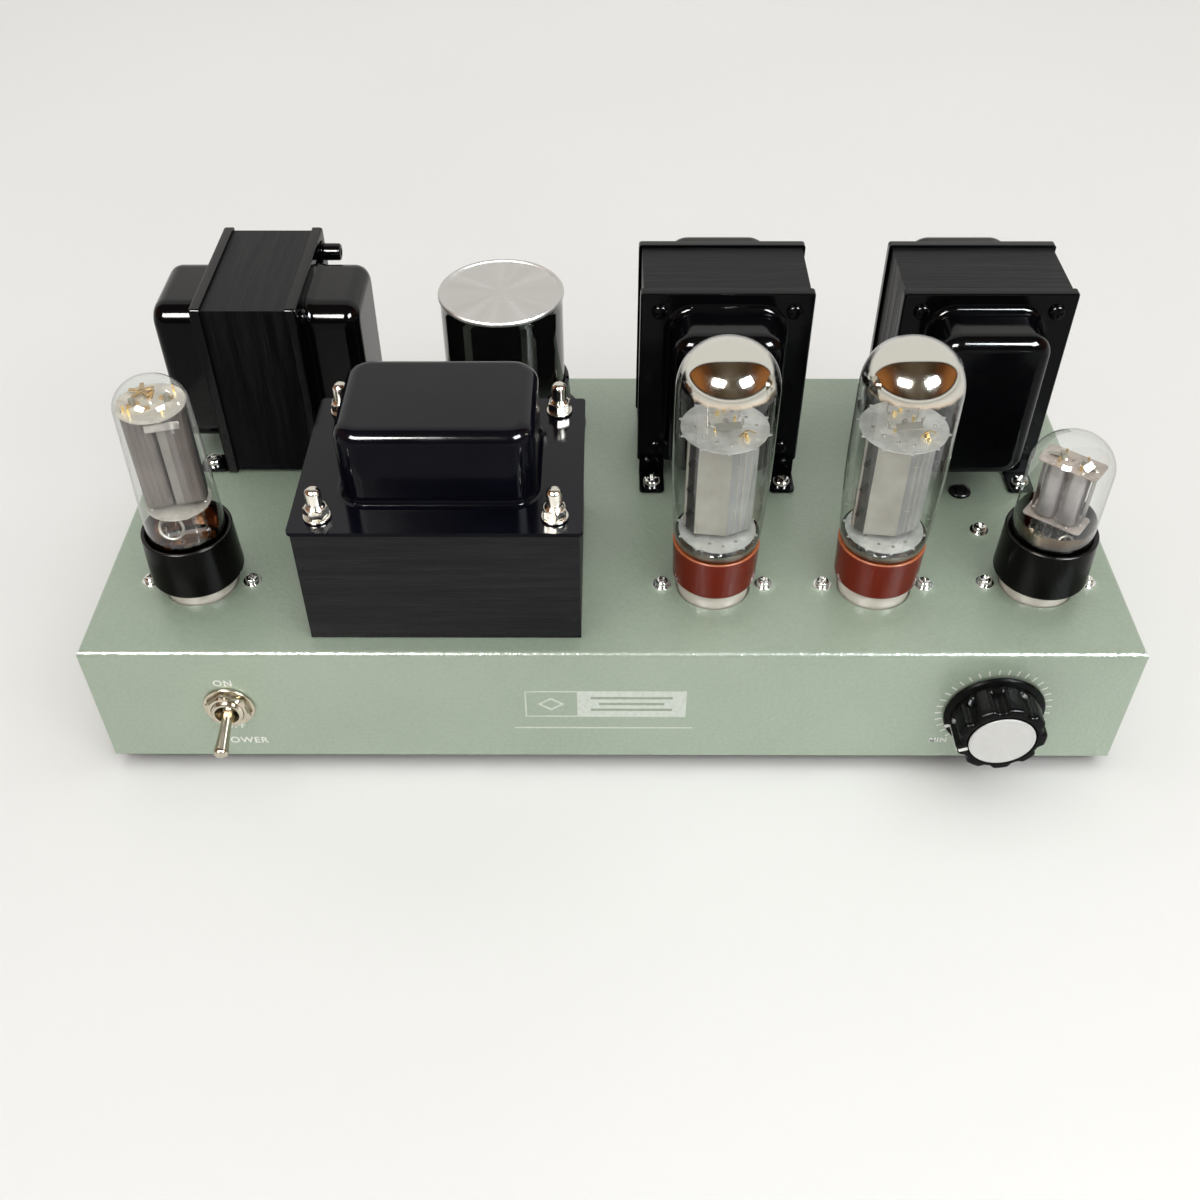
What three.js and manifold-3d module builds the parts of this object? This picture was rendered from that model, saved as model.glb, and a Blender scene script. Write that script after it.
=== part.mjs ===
// Single-ended stereo tube amplifier: a folded steel chassis that carries four octal tubes,
// a mains transformer, a filter choke, two output transformers and a smoothing capacitor.
//
// Units are millimetres, +Z is up. While it is built, X = 0 is the middle of the chassis, Y = 0 is the
// outer face of its front panel (the back is towards +Y) and Z = 0 is the table under its feet.
// The finished amplifier is then moved so that its origin is the bottom centre of its bounding box.

import * as THREE from 'three';
import { mergeVertices } from 'three/addons/utils/BufferGeometryUtils.js';
import Module from 'manifold-3d';

const wasm = await Module();
wasm.setup();

// ---------------------------------------------------------------- driving dimensions

const GAP = 0.3; // clearance between pieces that touch

const CHASSIS = { width: 380, depth: 173, height: 55.4, sheet: 1.5, bend: 2.2 };
const FOOT = { height: 4.7, radius: 9, inset: 24 };
const BOTTOM_PLATE = { sheet: 1, margin: 1 };

const PLATE_Z = FOOT.height + GAP;
const CHASSIS_Z = PLATE_Z + BOTTOM_PLATE.sheet + GAP;
const DECK_Z = CHASSIS_Z + CHASSIS.height;
const DECK_UNDERSIDE = -CHASSIS.sheet; // measured from the top of the deck
const REAR_Y = CHASSIS.depth;

// Octal tube sockets and tubes. Heights are measured from the top of the deck.
const OCTAL = {
  pinCircle: 8.72, pinRadius: 1.15, pinLength: 10.5, pinHole: 1.7,
  keyRadius: 3.9, keyLength: 13, keyHole: 4.4, screwPitch: 37.8,
};
const SOCKET = { radius: 13.2, top: 5.7, bottom: -11.5, earLength: 46, earWidth: 20, earSheet: 2.4 };
const POWER_TUBE = {
  base: { radius: 15.2, flare: 0.5, height: 17.3, wall: 1.5 },
  bulb: { neck: 13.4, wall: 1, top: 104.3, outline: [[15.3, 25], [17, 45], [17.3, 87]] },
};
const RECTIFIER = {
  base: { radius: 16.9, flare: -0.7, height: 20.8, wall: 2.2 },
  bulb: { neck: 13.1, wall: 1, top: 89.7, outline: [[13.1, 30], [13.1, 81]] },
};
const DRIVER = {
  base: { radius: 17, flare: -0.5, height: 20.4, wall: 1.9 },
  bulb: { neck: 14.2, wall: 1, top: 67.3, outline: [[14.5, 30], [14.5, 54]] },
};
// turn is how far each tube's electrodes are turned about its axis, in degrees.
const TUBES = [
  { name: 'rectifier', x: -153.3, y: 38, kind: RECTIFIER, turn: 15 },
  { name: 'power_left', x: 37.8, y: 36.5, kind: POWER_TUBE, turn: 8 },
  { name: 'power_right', x: 97.6, y: 36.5, kind: POWER_TUBE, turn: 8 },
  { name: 'driver', x: 158.4, y: 37.7, kind: DRIVER, turn: -38 },
];
const GLASS_SIDES = 14;

// Mains transformer, lying flat over a window in the deck.
const MAINS = {
  x: -59, y: 45.5, width: 96.5, depth: 75, stack: 48.2,
  leg: 32, window: 16, windowLength: 46, coilOverhang: 13.5, coilCorner: 8,
  plate: { width: 98.5, depth: 77, sheet: 1.5 },
  bell: { width: 67, depth: 47, height: 28.6, sheet: 1, corner: 9, crown: 5 },
  stud: { x: 39.8, y: 30.2, radius: 2.2, top: 63.6, nutRadius: 4.4, nutHeight: 3.6 },
};

// Upright frame transformers: the choke and the two output transformers share one size.
const FRAME = {
  width: 64.2, height: 76.4, stack: 40, rim: 0.9, rimDepth: 4, sheet: 1.2,
  leg: 24.8, window: 12.4, windowLength: 38, coilOverhang: 15,
  bell: { width: 41, height: 62, depth: 20, sheet: 1, corner: 8.5, crown: 5.5 },
  bolt: { x: 24.8, z: 30.8, radius: 2.2 },
  tab: { offset: 26.2, width: 10, reach: 11.6, sheet: 1.5, screw: 6.6, screwRadius: 2.1 },
};
const CHOKE = { name: 'choke', x: -137.1, y: 134.4, lift: 0, turn: -Math.PI / 2 };
const OUTPUTS = [
  { name: 'output_left', x: 42.6, y: 121.5, lift: 7.4, turn: 0 },
  { name: 'output_right', x: 139, y: 121.5, lift: 7.4, turn: 0 },
];
const CAPACITOR = {
  x: -43.7, y: 137, radius: 24.4, rim: 24.9, height: 65, terminalPitch: 22, holeRadius: 16,
};
const CLAMP = { height: 24, wall: 1.2, flange: 33, screwCircle: 29.5 };

// Front controls.
const TOGGLE = {
  x: -140.5, z: CHASSIS_Z + 28, bushing: 5.8, reach: 5, nutRadius: 8.5, nutHeight: 2.6, washer: 9.4,
  body: { width: 17, height: 28, depth: 19 },
  lever: { pivot: -1, length: 20.2, root: 1.9, tip: 2.65, ball: 2.7, tilt: THREE.MathUtils.degToRad(13.5) },
};
const VOLUME = {
  x: 140.6, z: CHASSIS_Z + 26.5, bushing: 4.6, bushingReach: 6, nutRadius: 6.6, nutHeight: 2.2,
  body: { radius: 12, depth: 18 }, shaft: { radius: 3, reach: 12.5 },
  knob: {
    skirt: 18.4, skirtBack: 0.8, skirtSheet: 1.8, grip: 16.1, face: 15.2, flutes: 9, fluteDepth: 1.3,
    recess: 9.5, recessDepth: 6.5, cap: 11.9, capDepth: 0.8, capSheet: 1,
  },
};

// Rear connectors.
const REAR_Z = CHASSIS_Z + 27.5;
const INLET = {
  x: -128, flange: { width: 58, height: 30, sheet: 2.2 }, body: { width: 50, height: 25.4, depth: 24 },
  cavity: { x: 9.6, width: 24.5, height: 17, depth: 17 },
  drawer: { x: -15.8, width: 12, height: 20, depth: 20 },
};
const JACKS = { x: 134, pitch: 20, width: 42, height: 18, sheet: 2, barrel: 4.2, contact: 1.7, reach: 9.5 };
const POSTS = {
  names: ['left', 'right'], x: [12, 72], pitch: 20, width: 42, height: 20, sheet: 2,
  collar: 5.4, collarHeight: 2.4, stem: 2.6, reach: 17, cap: 6, capLength: 12, capBore: 3,
};

// Populated tag board, hung under the deck.
const BOARD = { x: 30, y: 118, width: 118, depth: 50, sheet: 1.6, top: -24, hanger: 2.6 };

// ---------------------------------------------------------------- shape helpers

// Closed solid of a geometry, for a boolean.
function toSolid(geometry) {
  const bare = new THREE.BufferGeometry();
  bare.setAttribute('position', geometry.getAttribute('position').clone());
  bare.setIndex(geometry.getIndex());
  const merged = mergeVertices(bare, 1e-4);
  const index = merged.getIndex().array;
  const position = merged.getAttribute('position').array;
  const triangles = [];
  for (let i = 0; i < index.length; i += 3) {
    const [a, b, c] = [index[i], index[i + 1], index[i + 2]];
    if (a !== b && b !== c && c !== a) triangles.push(a, b, c);
  }
  return new wasm.Manifold(new wasm.Mesh({
    numProp: 3, vertProperties: new Float32Array(position), triVerts: new Uint32Array(triangles),
  }));
}

function toGeometry(solid) {
  const mesh = solid.getMesh();
  const geometry = new THREE.BufferGeometry();
  geometry.setAttribute('position', new THREE.BufferAttribute(new Float32Array(mesh.vertProperties), 3));
  geometry.setIndex(new THREE.BufferAttribute(new Uint32Array(mesh.triVerts), 1));
  return geometry;
}

function join(...shapes) {
  return toGeometry(shapes.map(toSolid).reduce((sum, next) => sum.add(next)));
}

function cut(shape, ...tools) {
  return toGeometry(tools.map(toSolid).reduce((rest, tool) => rest.subtract(tool), toSolid(shape)));
}

function common(first, second) {
  return toGeometry(toSolid(first).intersect(toSolid(second)));
}

// Box from its limits along each axis.
function block([x0, x1], [y0, y1], [z0, z1]) {
  const box = new THREE.BoxGeometry(x1 - x0, y1 - y0, z1 - z0);
  return box.translate((x0 + x1) / 2, (y0 + y1) / 2, (z0 + z1) / 2);
}

// Upright cylinder or cone, or a prism when sides is small.
function pillar(x, y, radius, z0, z1, sides = 16, topRadius = radius) {
  const shape = new THREE.CylinderGeometry(topRadius, radius, z1 - z0, sides);
  return shape.rotateX(Math.PI / 2).translate(x, y, (z0 + z1) / 2);
}

// The same, lying along Y from y0 at the front to y1 at the back.
function bar(x, z, radius, y0, y1, sides = 16, backRadius = radius) {
  const shape = new THREE.CylinderGeometry(backRadius, radius, y1 - y0, sides);
  return shape.translate(x, (y0 + y1) / 2, z);
}

// Turned shape about Z from [radius, height] points.
function turned(points, sides = 20) {
  const profile = points.map(([radius, height]) => new THREE.Vector2(radius, height));
  return new THREE.LatheGeometry(profile, sides).rotateX(Math.PI / 2);
}

function roundedRectangle(width, height, corner) {
  const [x, y] = [width / 2, height / 2];
  const shape = new THREE.Shape();
  shape.moveTo(-x + corner, -y);
  shape.lineTo(x - corner, -y);
  shape.absarc(x - corner, -y + corner, corner, -Math.PI / 2, 0);
  shape.lineTo(x, y - corner);
  shape.absarc(x - corner, y - corner, corner, 0, Math.PI / 2);
  shape.lineTo(-x + corner, y);
  shape.absarc(-x + corner, y - corner, corner, Math.PI / 2, Math.PI);
  shape.lineTo(-x, -y + corner);
  shape.absarc(-x + corner, -y + corner, corner, Math.PI, Math.PI * 1.5);
  return shape;
}

function slab(shape, z0, z1, curveSegments = 3) {
  return new THREE.ExtrudeGeometry(shape, { depth: z1 - z0, bevelEnabled: false, curveSegments })
    .translate(0, 0, z0);
}

// Block with rounded upright edges and a rounded crown, open or buried at its foot.
function crownedBlock(width, depth, z0, z1, corner, crown, steps = 2) {
  const core = roundedRectangle(width - 2 * crown, depth - 2 * crown, corner - crown);
  const shape = new THREE.ExtrudeGeometry(core, {
    depth: z1 - z0 - crown, bevelEnabled: true, bevelThickness: crown, bevelSize: crown,
    bevelSegments: steps, curveSegments: steps,
  });
  const reach = Math.max(width, depth);
  return common(shape.translate(0, 0, z0), block([-reach, reach], [-reach, reach], [z0, z1 + 1]));
}

function steel(color, roughness = 0.35, metalness = 0.9) {
  return new THREE.MeshStandardMaterial({ color, roughness, metalness });
}

function coating(color, roughness = 0.45) {
  return new THREE.MeshStandardMaterial({ color, roughness, metalness: 0 });
}

const LOOK = {
  chassis: coating(0x9ba592, 0.5),
  blackPaint: coating(0x17171c, 0.3),
  lamination: coating(0x1c1c20, 0.5),
  copperCoil: coating(0x8a4a22, 0.4),
  zinc: steel(0xb9b9b4, 0.4),
  nickel: steel(0xc9c5b6, 0.22),
  rubber: coating(0x1b1b1b, 0.85),
  ceramic: coating(0xf1efe8, 0.2),
  brownBase: coating(0x6b2a1c, 0.35),
  blackBase: coating(0x141414, 0.35),
  glass: new THREE.MeshStandardMaterial({
    color: 0xdfe6e2, roughness: 0.03, metalness: 0, transparent: true, opacity: 0.3,
  }),
  plate: steel(0x8d8c88, 0.45, 0.6),
  aluminium: steel(0xd0d0ce, 0.3),
  blackPlastic: coating(0x121212, 0.3),
  board: coating(0x7a5a34, 0.6),
  brass: steel(0xc7a24a, 0.3),
};

function add(group, name, geometry, material) {
  const mesh = new THREE.Mesh(geometry, material);
  mesh.name = name;
  group.add(mesh);
  return mesh;
}

// A group standing on the deck.
function deckGroup(parent, x, y, turn = 0) {
  const group = new THREE.Group();
  group.position.set(x, y, DECK_Z);
  group.rotation.z = turn;
  parent.add(group);
  return group;
}

// ---------------------------------------------------------------- chassis

function deckCutOuts() {
  const through = [DECK_Z - 10, DECK_Z + 10];
  const holes = TUBES.map((tube) => pillar(tube.x, tube.y, SOCKET.radius + 0.6, ...through, 16));
  const { stud } = MAINS;
  holes.push(block(
    [MAINS.x - MAINS.leg / 2 - MAINS.window - 2, MAINS.x + MAINS.leg / 2 + MAINS.window + 2],
    [MAINS.y - MAINS.windowLength / 2 - 1, MAINS.y + MAINS.windowLength / 2 + 1], through,
  ));
  for (const sx of [-1, 1]) {
    for (const sy of [-1, 1]) {
      holes.push(pillar(MAINS.x + sx * stud.x, MAINS.y + sy * stud.y, stud.radius + 0.5, ...through, 8));
    }
  }
  holes.push(pillar(CAPACITOR.x, CAPACITOR.y, CAPACITOR.holeRadius, ...through, 16));
  for (const unit of [CHOKE, ...OUTPUTS]) holes.push(pillar(unit.x, unit.y, 7, ...through, 10));
  return holes;
}

function panelCutOuts() {
  const front = [-5, 5];
  const rear = [REAR_Y - 5, REAR_Y + 5];
  const holes = [
    bar(TOGGLE.x, TOGGLE.z, TOGGLE.bushing + 0.5, ...front, 12),
    bar(VOLUME.x, VOLUME.z, VOLUME.bushing + 0.5, ...front, 12),
    block(
      [INLET.x - INLET.body.width / 2 - 0.5, INLET.x + INLET.body.width / 2 + 0.5], rear,
      [REAR_Z - INLET.body.height / 2 - 0.5, REAR_Z + INLET.body.height / 2 + 0.5],
    ),
  ];
  for (const side of [-0.5, 0.5]) {
    holes.push(bar(JACKS.x + side * JACKS.pitch, REAR_Z, JACKS.barrel + 1, ...rear, 12));
    for (const x of POSTS.x) holes.push(bar(x + side * POSTS.pitch, REAR_Z, POSTS.stem + 1.6, ...rear, 12));
  }
  return holes;
}

// Outline with its two upper corners rounded, for the bent edges of the deck.
function bentOutline(halfSpan, height, bend) {
  const shape = new THREE.Shape();
  shape.moveTo(-halfSpan, 0);
  shape.lineTo(halfSpan, 0);
  shape.lineTo(halfSpan, height - bend);
  shape.absarc(halfSpan - bend, height - bend, bend, 0, Math.PI / 2);
  shape.lineTo(-halfSpan + bend, height);
  shape.absarc(-halfSpan + bend, height - bend, bend, Math.PI / 2, Math.PI);
  return shape;
}

function chassisShell() {
  const { width, depth, height, sheet, bend } = CHASSIS;
  const along = (shape, length) => new THREE.ExtrudeGeometry(shape, {
    depth: length, bevelEnabled: false, curveSegments: 4,
  }).translate(0, 0, -length / 2).rotateX(Math.PI / 2);
  const acrossX = along(bentOutline(width / 2, height, bend), depth);
  const acrossY = along(bentOutline(depth / 2, height, bend), width).rotateZ(Math.PI / 2);
  const outer = common(acrossX, acrossY).translate(0, depth / 2, CHASSIS_Z);
  const inside = block([sheet - width / 2, width / 2 - sheet], [sheet, depth - sheet],
    [CHASSIS_Z - 1, DECK_Z - sheet]);
  return cut(outer, inside, ...deckCutOuts(), ...panelCutOuts());
}

function bottomPlate() {
  const { sheet, margin } = BOTTOM_PLATE;
  const plate = block([margin - CHASSIS.width / 2, CHASSIS.width / 2 - margin],
    [margin, CHASSIS.depth - margin], [PLATE_Z, PLATE_Z + sheet]);
  const slots = [];
  for (const y of [48, 125]) {
    for (const x of [-130, -65, 0, 65, 130]) {
      for (const row of [-5, 5]) {
        slots.push(block([x - 17, x + 17], [y + row - 1.5, y + row + 1.5],
          [PLATE_Z - 1, PLATE_Z + sheet + 1]));
      }
    }
  }
  return cut(plate, ...slots);
}

function foot() {
  const { radius, height } = FOOT;
  return turned([[0, 1.2], [4, 1.2], [4, 0], [radius - 1, 0], [radius, 1], [radius, height],
    [0, height]], 12);
}

function buildChassis(parent) {
  add(parent, 'chassis', chassisShell(), LOOK.chassis);
  add(parent, 'bottom_plate', bottomPlate(), LOOK.blackPaint);
  for (const [sideName, side] of [['left', -1], ['right', 1]]) {
    for (const [endName, y] of [['front', FOOT.inset], ['rear', CHASSIS.depth - FOOT.inset]]) {
      const mesh = add(parent, `foot_${endName}_${sideName}`, foot(), LOOK.rubber);
      mesh.position.set(side * (CHASSIS.width / 2 - FOOT.inset), y, 0);
    }
  }
}

// ---------------------------------------------------------------- tubes and sockets

// Places on the octal pin circle.
function octalPlaces() {
  return Array.from({ length: 8 }, (_, i) => {
    const angle = ((i + 0.5) * Math.PI) / 4;
    return [OCTAL.pinCircle * Math.cos(angle), OCTAL.pinCircle * Math.sin(angle)];
  });
}

function socket() {
  const earTop = DECK_UNDERSIDE - GAP;
  const { radius, top, bottom, earLength, earWidth, earSheet } = SOCKET;
  const body = turned([[0, bottom], [radius - 2, bottom], [radius, bottom + 2], [radius, top - 1],
    [radius - 1, top], [0, top]], 16);
  const ears = slab(roundedRectangle(earLength, earWidth, 7), earTop - earSheet, earTop, 2);
  const holes = octalPlaces().map(([x, y]) => pillar(x, y, OCTAL.pinHole, top - 13, top + 1, 6));
  holes.push(pillar(0, 0, OCTAL.keyHole, top - 15.5, top + 1, 10));
  for (const side of [-0.5, 0.5]) {
    holes.push(pillar(side * OCTAL.screwPitch, 0, 1.7, earTop - 5, earTop + 1, 6));
  }
  return cut(join(body, ears), ...holes);
}

// Moulded cup with eight pins and a keyed post.
function tubeBase({ radius, flare, height, wall }) {
  const bottom = SOCKET.top + GAP;
  const floor = bottom + 2.5;
  const top = bottom + height;
  const cup = turned([[0, bottom], [radius - 0.8, bottom], [radius, bottom + 0.8], [radius + flare, top],
    [radius + flare - wall, top], [radius + flare - wall, floor], [0, floor]], 16);
  const pins = octalPlaces().map(([x, y]) => pillar(x, y, OCTAL.pinRadius, bottom - OCTAL.pinLength,
    bottom + 1, 5));
  const key = pillar(0, 0, OCTAL.keyRadius, bottom - OCTAL.keyLength, bottom + 1, 8);
  return join(cup, key, ...pins);
}

// Height where the glass starts inside its base.
const BULB_FOOT = SOCKET.top + 2 * GAP + 2.5;

// Glass envelope with a domed top, open at the foot where the stem enters.
function bulb({ neck, wall, top, outline }) {
  const [shoulderRadius, shoulder] = outline[outline.length - 1];
  const dome = (inset) => Array.from({ length: 5 }, (_, i) => {
    const angle = (i * Math.PI) / 8;
    return [(shoulderRadius - inset) * Math.cos(angle),
      shoulder + (top - inset - shoulder) * Math.sin(angle)];
  });
  const outer = [[neck, BULB_FOOT], [neck, outline[0][1] - 2], ...outline.slice(0, -1), ...dome(0)];
  const inner = [...dome(wall).reverse(), ...outline.slice(0, -1).reverse().map(([r, z]) => [r - wall, z]),
    [neck - wall, outline[0][1] - 2], [neck - wall, BULB_FOOT]];
  const onAxis = ([radius, z]) => [radius < 0.01 ? 0 : radius, z];
  return turned([...outer, ...inner, [neck, BULB_FOOT]].map(onAxis), GLASS_SIDES);
}

// Glass stem whose flat pinch holds two support rods at x = -span and x = span.
function mount(span, pinchTop, rodTop) {
  return [
    pillar(0, 0, 10, BULB_FOOT, BULB_FOOT + 2, 8),
    pillar(0, 0, 5.5, BULB_FOOT + 1, BULB_FOOT + 7, 6, 4),
    block([-span - 1, span + 1], [-1.6, 1.6], [BULB_FOOT + 6, pinchTop]),
    ...[-span, span].map((x) => pillar(x, 0, 0.7, pinchTop - 1, rodTop, 4)),
  ];
}

function powerElectrodes() {
  const anode = slab(roundedRectangle(21, 12, 3), 30, 69, 1);
  const wings = block([-13, 13], [-0.5, 0.5], [32, 67]);
  const micas = [pillar(0, 0, 13.8, 27, 27.8, 10), pillar(0, 0, 15.4, 72, 72.8, 10)];
  const getter = [pillar(0, 0, 0.6, 72, 84, 4), pillar(0, 0, 4, 83, 84, 6)];
  return join(anode, wings, ...micas, ...getter, ...mount(8, 19, 75));
}

function rectifierElectrodes() {
  const anodes = [-5.4, 5.4].map((x) => block([x - 4.9, x + 4.9], [-5, 5], [41, 79]));
  const bridge = block([-7, 7], [-1.5, 1.5], [43, 77]);
  const micas = [pillar(0, 0, 11, 38.7, 39.5, 10), pillar(0, 0, 11, 80, 80.8, 10)];
  return join(...anodes, bridge, ...micas, ...mount(7, 24, 84));
}

function driverElectrodes() {
  const anodes = [-5.6, 5.6].map((x) => (
    slab(roundedRectangle(10, 10, 2.5), 32.5, 56.4, 1).translate(x, 0, 0)));
  const bridge = block([-7, 7], [-0.8, 0.8], [34, 55]);
  const micas = [32, 56].map((z) => block([-10.8, 10.8], [-5.2, 5.2], [z, z + 0.8]));
  return join(...anodes, bridge, ...micas, ...mount(9, 22, 58));
}

function buildTubes(parent) {
  const electrodes = {
    rectifier: rectifierElectrodes, power_left: powerElectrodes, power_right: powerElectrodes,
    driver: driverElectrodes,
  };
  for (const { name, x, y, kind, turn } of TUBES) {
    const group = deckGroup(parent, x, y);
    add(group, `socket_${name}`, socket(), LOOK.ceramic);
    const baseLook = kind === POWER_TUBE ? LOOK.brownBase : LOOK.blackBase;
    add(group, `tube_${name}_base`, tubeBase(kind.base), baseLook);
    add(group, `tube_${name}_bulb`, bulb(kind.bulb), LOOK.glass);
    const mounted = add(group, `tube_${name}_electrodes`, electrodes[name](), LOOK.plate);
    mounted.rotation.z = THREE.MathUtils.degToRad(turn);
  }
}

// ---------------------------------------------------------------- mains transformer

function mainsCore() {
  const { width, depth, leg, window, windowLength, stack, stud } = MAINS;
  const body = block([-width / 2, width / 2], [-depth / 2, depth / 2], [GAP, GAP + stack]);
  const cuts = [];
  for (const side of [-1, 1]) {
    const middle = side * (leg + window) / 2;
    cuts.push(block([middle - window / 2, middle + window / 2], [-windowLength / 2, windowLength / 2],
      [-1, stack + 2]));
    for (const end of [-1, 1]) {
      cuts.push(pillar(side * stud.x, end * stud.y, stud.radius + 0.4, -1, stack + 2, 8));
    }
  }
  return cut(body, ...cuts);
}

function mainsCoil() {
  const { leg, window, windowLength, stack, coilOverhang, coilCorner } = MAINS;
  const halfWidth = leg / 2 + window - 0.5;
  const halfLength = windowLength / 2 - 0.8;
  const bottom = GAP - coilOverhang;
  const height = stack + 2 * coilOverhang;
  const outer = slab(roundedRectangle(2 * halfWidth, height, 6), -halfLength, halfLength, 2)
    .rotateX(Math.PI / 2).translate(0, 0, bottom + height / 2);
  const corners = slab(roundedRectangle(2 * halfWidth, 2 * halfLength, coilCorner), bottom - 1,
    stack + coilOverhang + 2, 2);
  const bore = block([-leg / 2 - GAP, leg / 2 + GAP], [-windowLength, windowLength], [0, stack + 2 * GAP]);
  return cut(common(outer, corners), bore);
}

// Pressed cover: a flat flange over the core and a hollow crown over the coil.
function mainsBell() {
  const { plate, bell, stud, stack } = MAINS;
  const z = stack + 2 * GAP;
  const flange = block([-plate.width / 2, plate.width / 2], [-plate.depth / 2, plate.depth / 2],
    [z, z + plate.sheet]);
  const top = z + plate.sheet + bell.height;
  const crown = crownedBlock(bell.width, bell.depth, z, top, bell.corner, bell.crown);
  const cavity = crownedBlock(bell.width - 2 * bell.sheet, bell.depth - 2 * bell.sheet, z - 1,
    top - bell.sheet, bell.corner - bell.sheet, bell.crown - bell.sheet);
  const holes = [];
  for (const sx of [-1, 1]) {
    for (const sy of [-1, 1]) {
      holes.push(pillar(sx * stud.x, sy * stud.y, stud.radius + 0.4, z - 1, z + plate.sheet + 1, 8));
    }
  }
  return cut(join(flange, crown), cavity, ...holes);
}

// Through stud with its washer and nut above and its nut under the deck.
function mainsStud() {
  const { stud, stack, plate } = MAINS;
  const seat = stack + 3 * GAP + plate.sheet;
  const under = DECK_UNDERSIDE - GAP;
  const rod = turned([[0, under - 5], [stud.radius, under - 5], [stud.radius, stud.top - 1.5],
    [stud.radius * 0.7, stud.top - 0.3], [0, stud.top]], 8);
  return join(
    rod,
    pillar(0, 0, stud.nutRadius + 0.6, seat, seat + 0.8, 10),
    pillar(0, 0, stud.nutRadius, seat + 0.4, seat + 0.8 + stud.nutHeight, 6),
    pillar(0, 0, stud.nutRadius, under - stud.nutHeight, under, 6),
  );
}

function buildMainsTransformer(parent) {
  const group = deckGroup(parent, MAINS.x, MAINS.y);
  add(group, 'mains_core', mainsCore(), LOOK.lamination);
  add(group, 'mains_coil', mainsCoil(), LOOK.copperCoil);
  add(group, 'mains_bell', mainsBell(), LOOK.blackPaint);
  for (const [sideName, side] of [['left', -1], ['right', 1]]) {
    for (const [endName, end] of [['front', -1], ['rear', 1]]) {
      const mesh = add(group, `mains_stud_${endName}_${sideName}`, mainsStud(), LOOK.nickel);
      mesh.position.set(side * MAINS.stud.x, end * MAINS.stud.y, 0);
    }
  }
}

// ---------------------------------------------------------------- choke and output transformers

// The laminations stand upright and are stacked along Y; z = 0 is the middle of the stack.
function frameCore() {
  const { width, height, rim, stack, sheet, leg, window, windowLength, bolt } = FRAME;
  const [x, z, y] = [width / 2 - rim - GAP, height / 2 - rim - GAP, stack / 2 - sheet - GAP];
  const cuts = [];
  for (const side of [-1, 1]) {
    const middle = side * (leg + window) / 2;
    cuts.push(block([-windowLength / 2, windowLength / 2], [-stack, stack],
      [middle - window / 2, middle + window / 2]));
    for (const end of [-1, 1]) cuts.push(bar(end * bolt.x, side * bolt.z, bolt.radius, -stack, stack, 6));
  }
  return cut(block([-x, x], [-y, y], [-z, z]), ...cuts);
}

function frameCoil() {
  const { leg, window, windowLength, stack, sheet, coilOverhang } = FRAME;
  const halfHeight = leg / 2 + window - 0.5;
  const halfDepth = stack / 2 - sheet + coilOverhang;
  const halfLength = windowLength / 2 - 0.8;
  const outer = slab(roundedRectangle(2 * halfDepth, 2 * halfHeight, 5), -halfLength, halfLength, 2)
    .rotateX(Math.PI / 2).rotateZ(Math.PI / 2);
  const bore = block([-windowLength, windowLength], [-stack / 2 + sheet, stack / 2 - sheet],
    [-leg / 2 - GAP, leg / 2 + GAP]);
  return cut(outer, bore);
}

// One pressed end facing -Y: a rimmed plate, a hollow bell and two mounting tabs.
function frameEnd(lift) {
  const { width, height, stack, rim, rimDepth, sheet, bell, bolt, tab } = FRAME;
  const face = -stack / 2;
  const back = face + rimDepth;
  const bottom = -height / 2;
  const pan = block([-width / 2, width / 2], [face, back], [bottom, -bottom]);
  const panInside = block([rim - width / 2, width / 2 - rim], [face + sheet, back + 1],
    [bottom + rim, -bottom - rim]);
  const standing = (shape) => shape.rotateX(Math.PI / 2);
  const crown = standing(crownedBlock(bell.width, bell.height, -face - 0.4, -face + bell.depth,
    bell.corner, bell.crown));
  const cavity = standing(crownedBlock(bell.width - 2 * bell.sheet, bell.height - 2 * bell.sheet,
    -face - sheet - 1, -face + bell.depth - bell.sheet, bell.corner - bell.sheet,
    bell.crown - bell.sheet, 1));
  const floor = bottom - lift;
  const tabs = [];
  const holes = [];
  for (const side of [-1, 1]) {
    const across = [side * tab.offset - tab.width / 2, side * tab.offset + tab.width / 2];
    tabs.push(block(across, [face - tab.reach, face + 0.6], [floor, floor + tab.sheet]));
    tabs.push(block(across, [face, face + sheet], [floor, bottom + 4]));
    holes.push(pillar(side * tab.offset, face - tab.screw, tab.screwRadius, floor - 1,
      floor + tab.sheet + 1, 6));
    for (const end of [-1, 1]) {
      holes.push(bar(side * bolt.x, end * bolt.z, bolt.radius, face - 3, back + 1, 6));
    }
  }
  return cut(join(pan, crown, ...tabs), panInside, cavity, ...holes);
}

function buildFrameTransformer(parent, { name, x, y, lift, turn }, endNames) {
  const group = deckGroup(parent, x, y, turn);
  const upper = new THREE.Group();
  upper.position.z = GAP + lift + FRAME.height / 2;
  group.add(upper);
  add(upper, `${name}_core`, frameCore(), LOOK.lamination);
  add(upper, `${name}_coil`, frameCoil(), LOOK.copperCoil);
  endNames.forEach((endName, i) => {
    const mesh = add(upper, `${name}_bell_${endName}`, frameEnd(lift), LOOK.blackPaint);
    mesh.rotation.z = i * Math.PI;
  });
}

// ---------------------------------------------------------------- smoothing capacitor

function capacitorCan() {
  const { radius, rim, height, terminalPitch } = CAPACITOR;
  const can = turned([[0, GAP], [radius, GAP], [radius, height - 2.2], [rim, height - 1.6],
    [rim, height - 0.4], [rim - 0.6, height], [rim - 2, height - 0.6], [0, height - 0.6]], 20);
  const terminals = [-0.5, 0.5].map((side) => pillar(side * terminalPitch, 0, 3, -8, 1, 6));
  return join(can, ...terminals);
}

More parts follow.
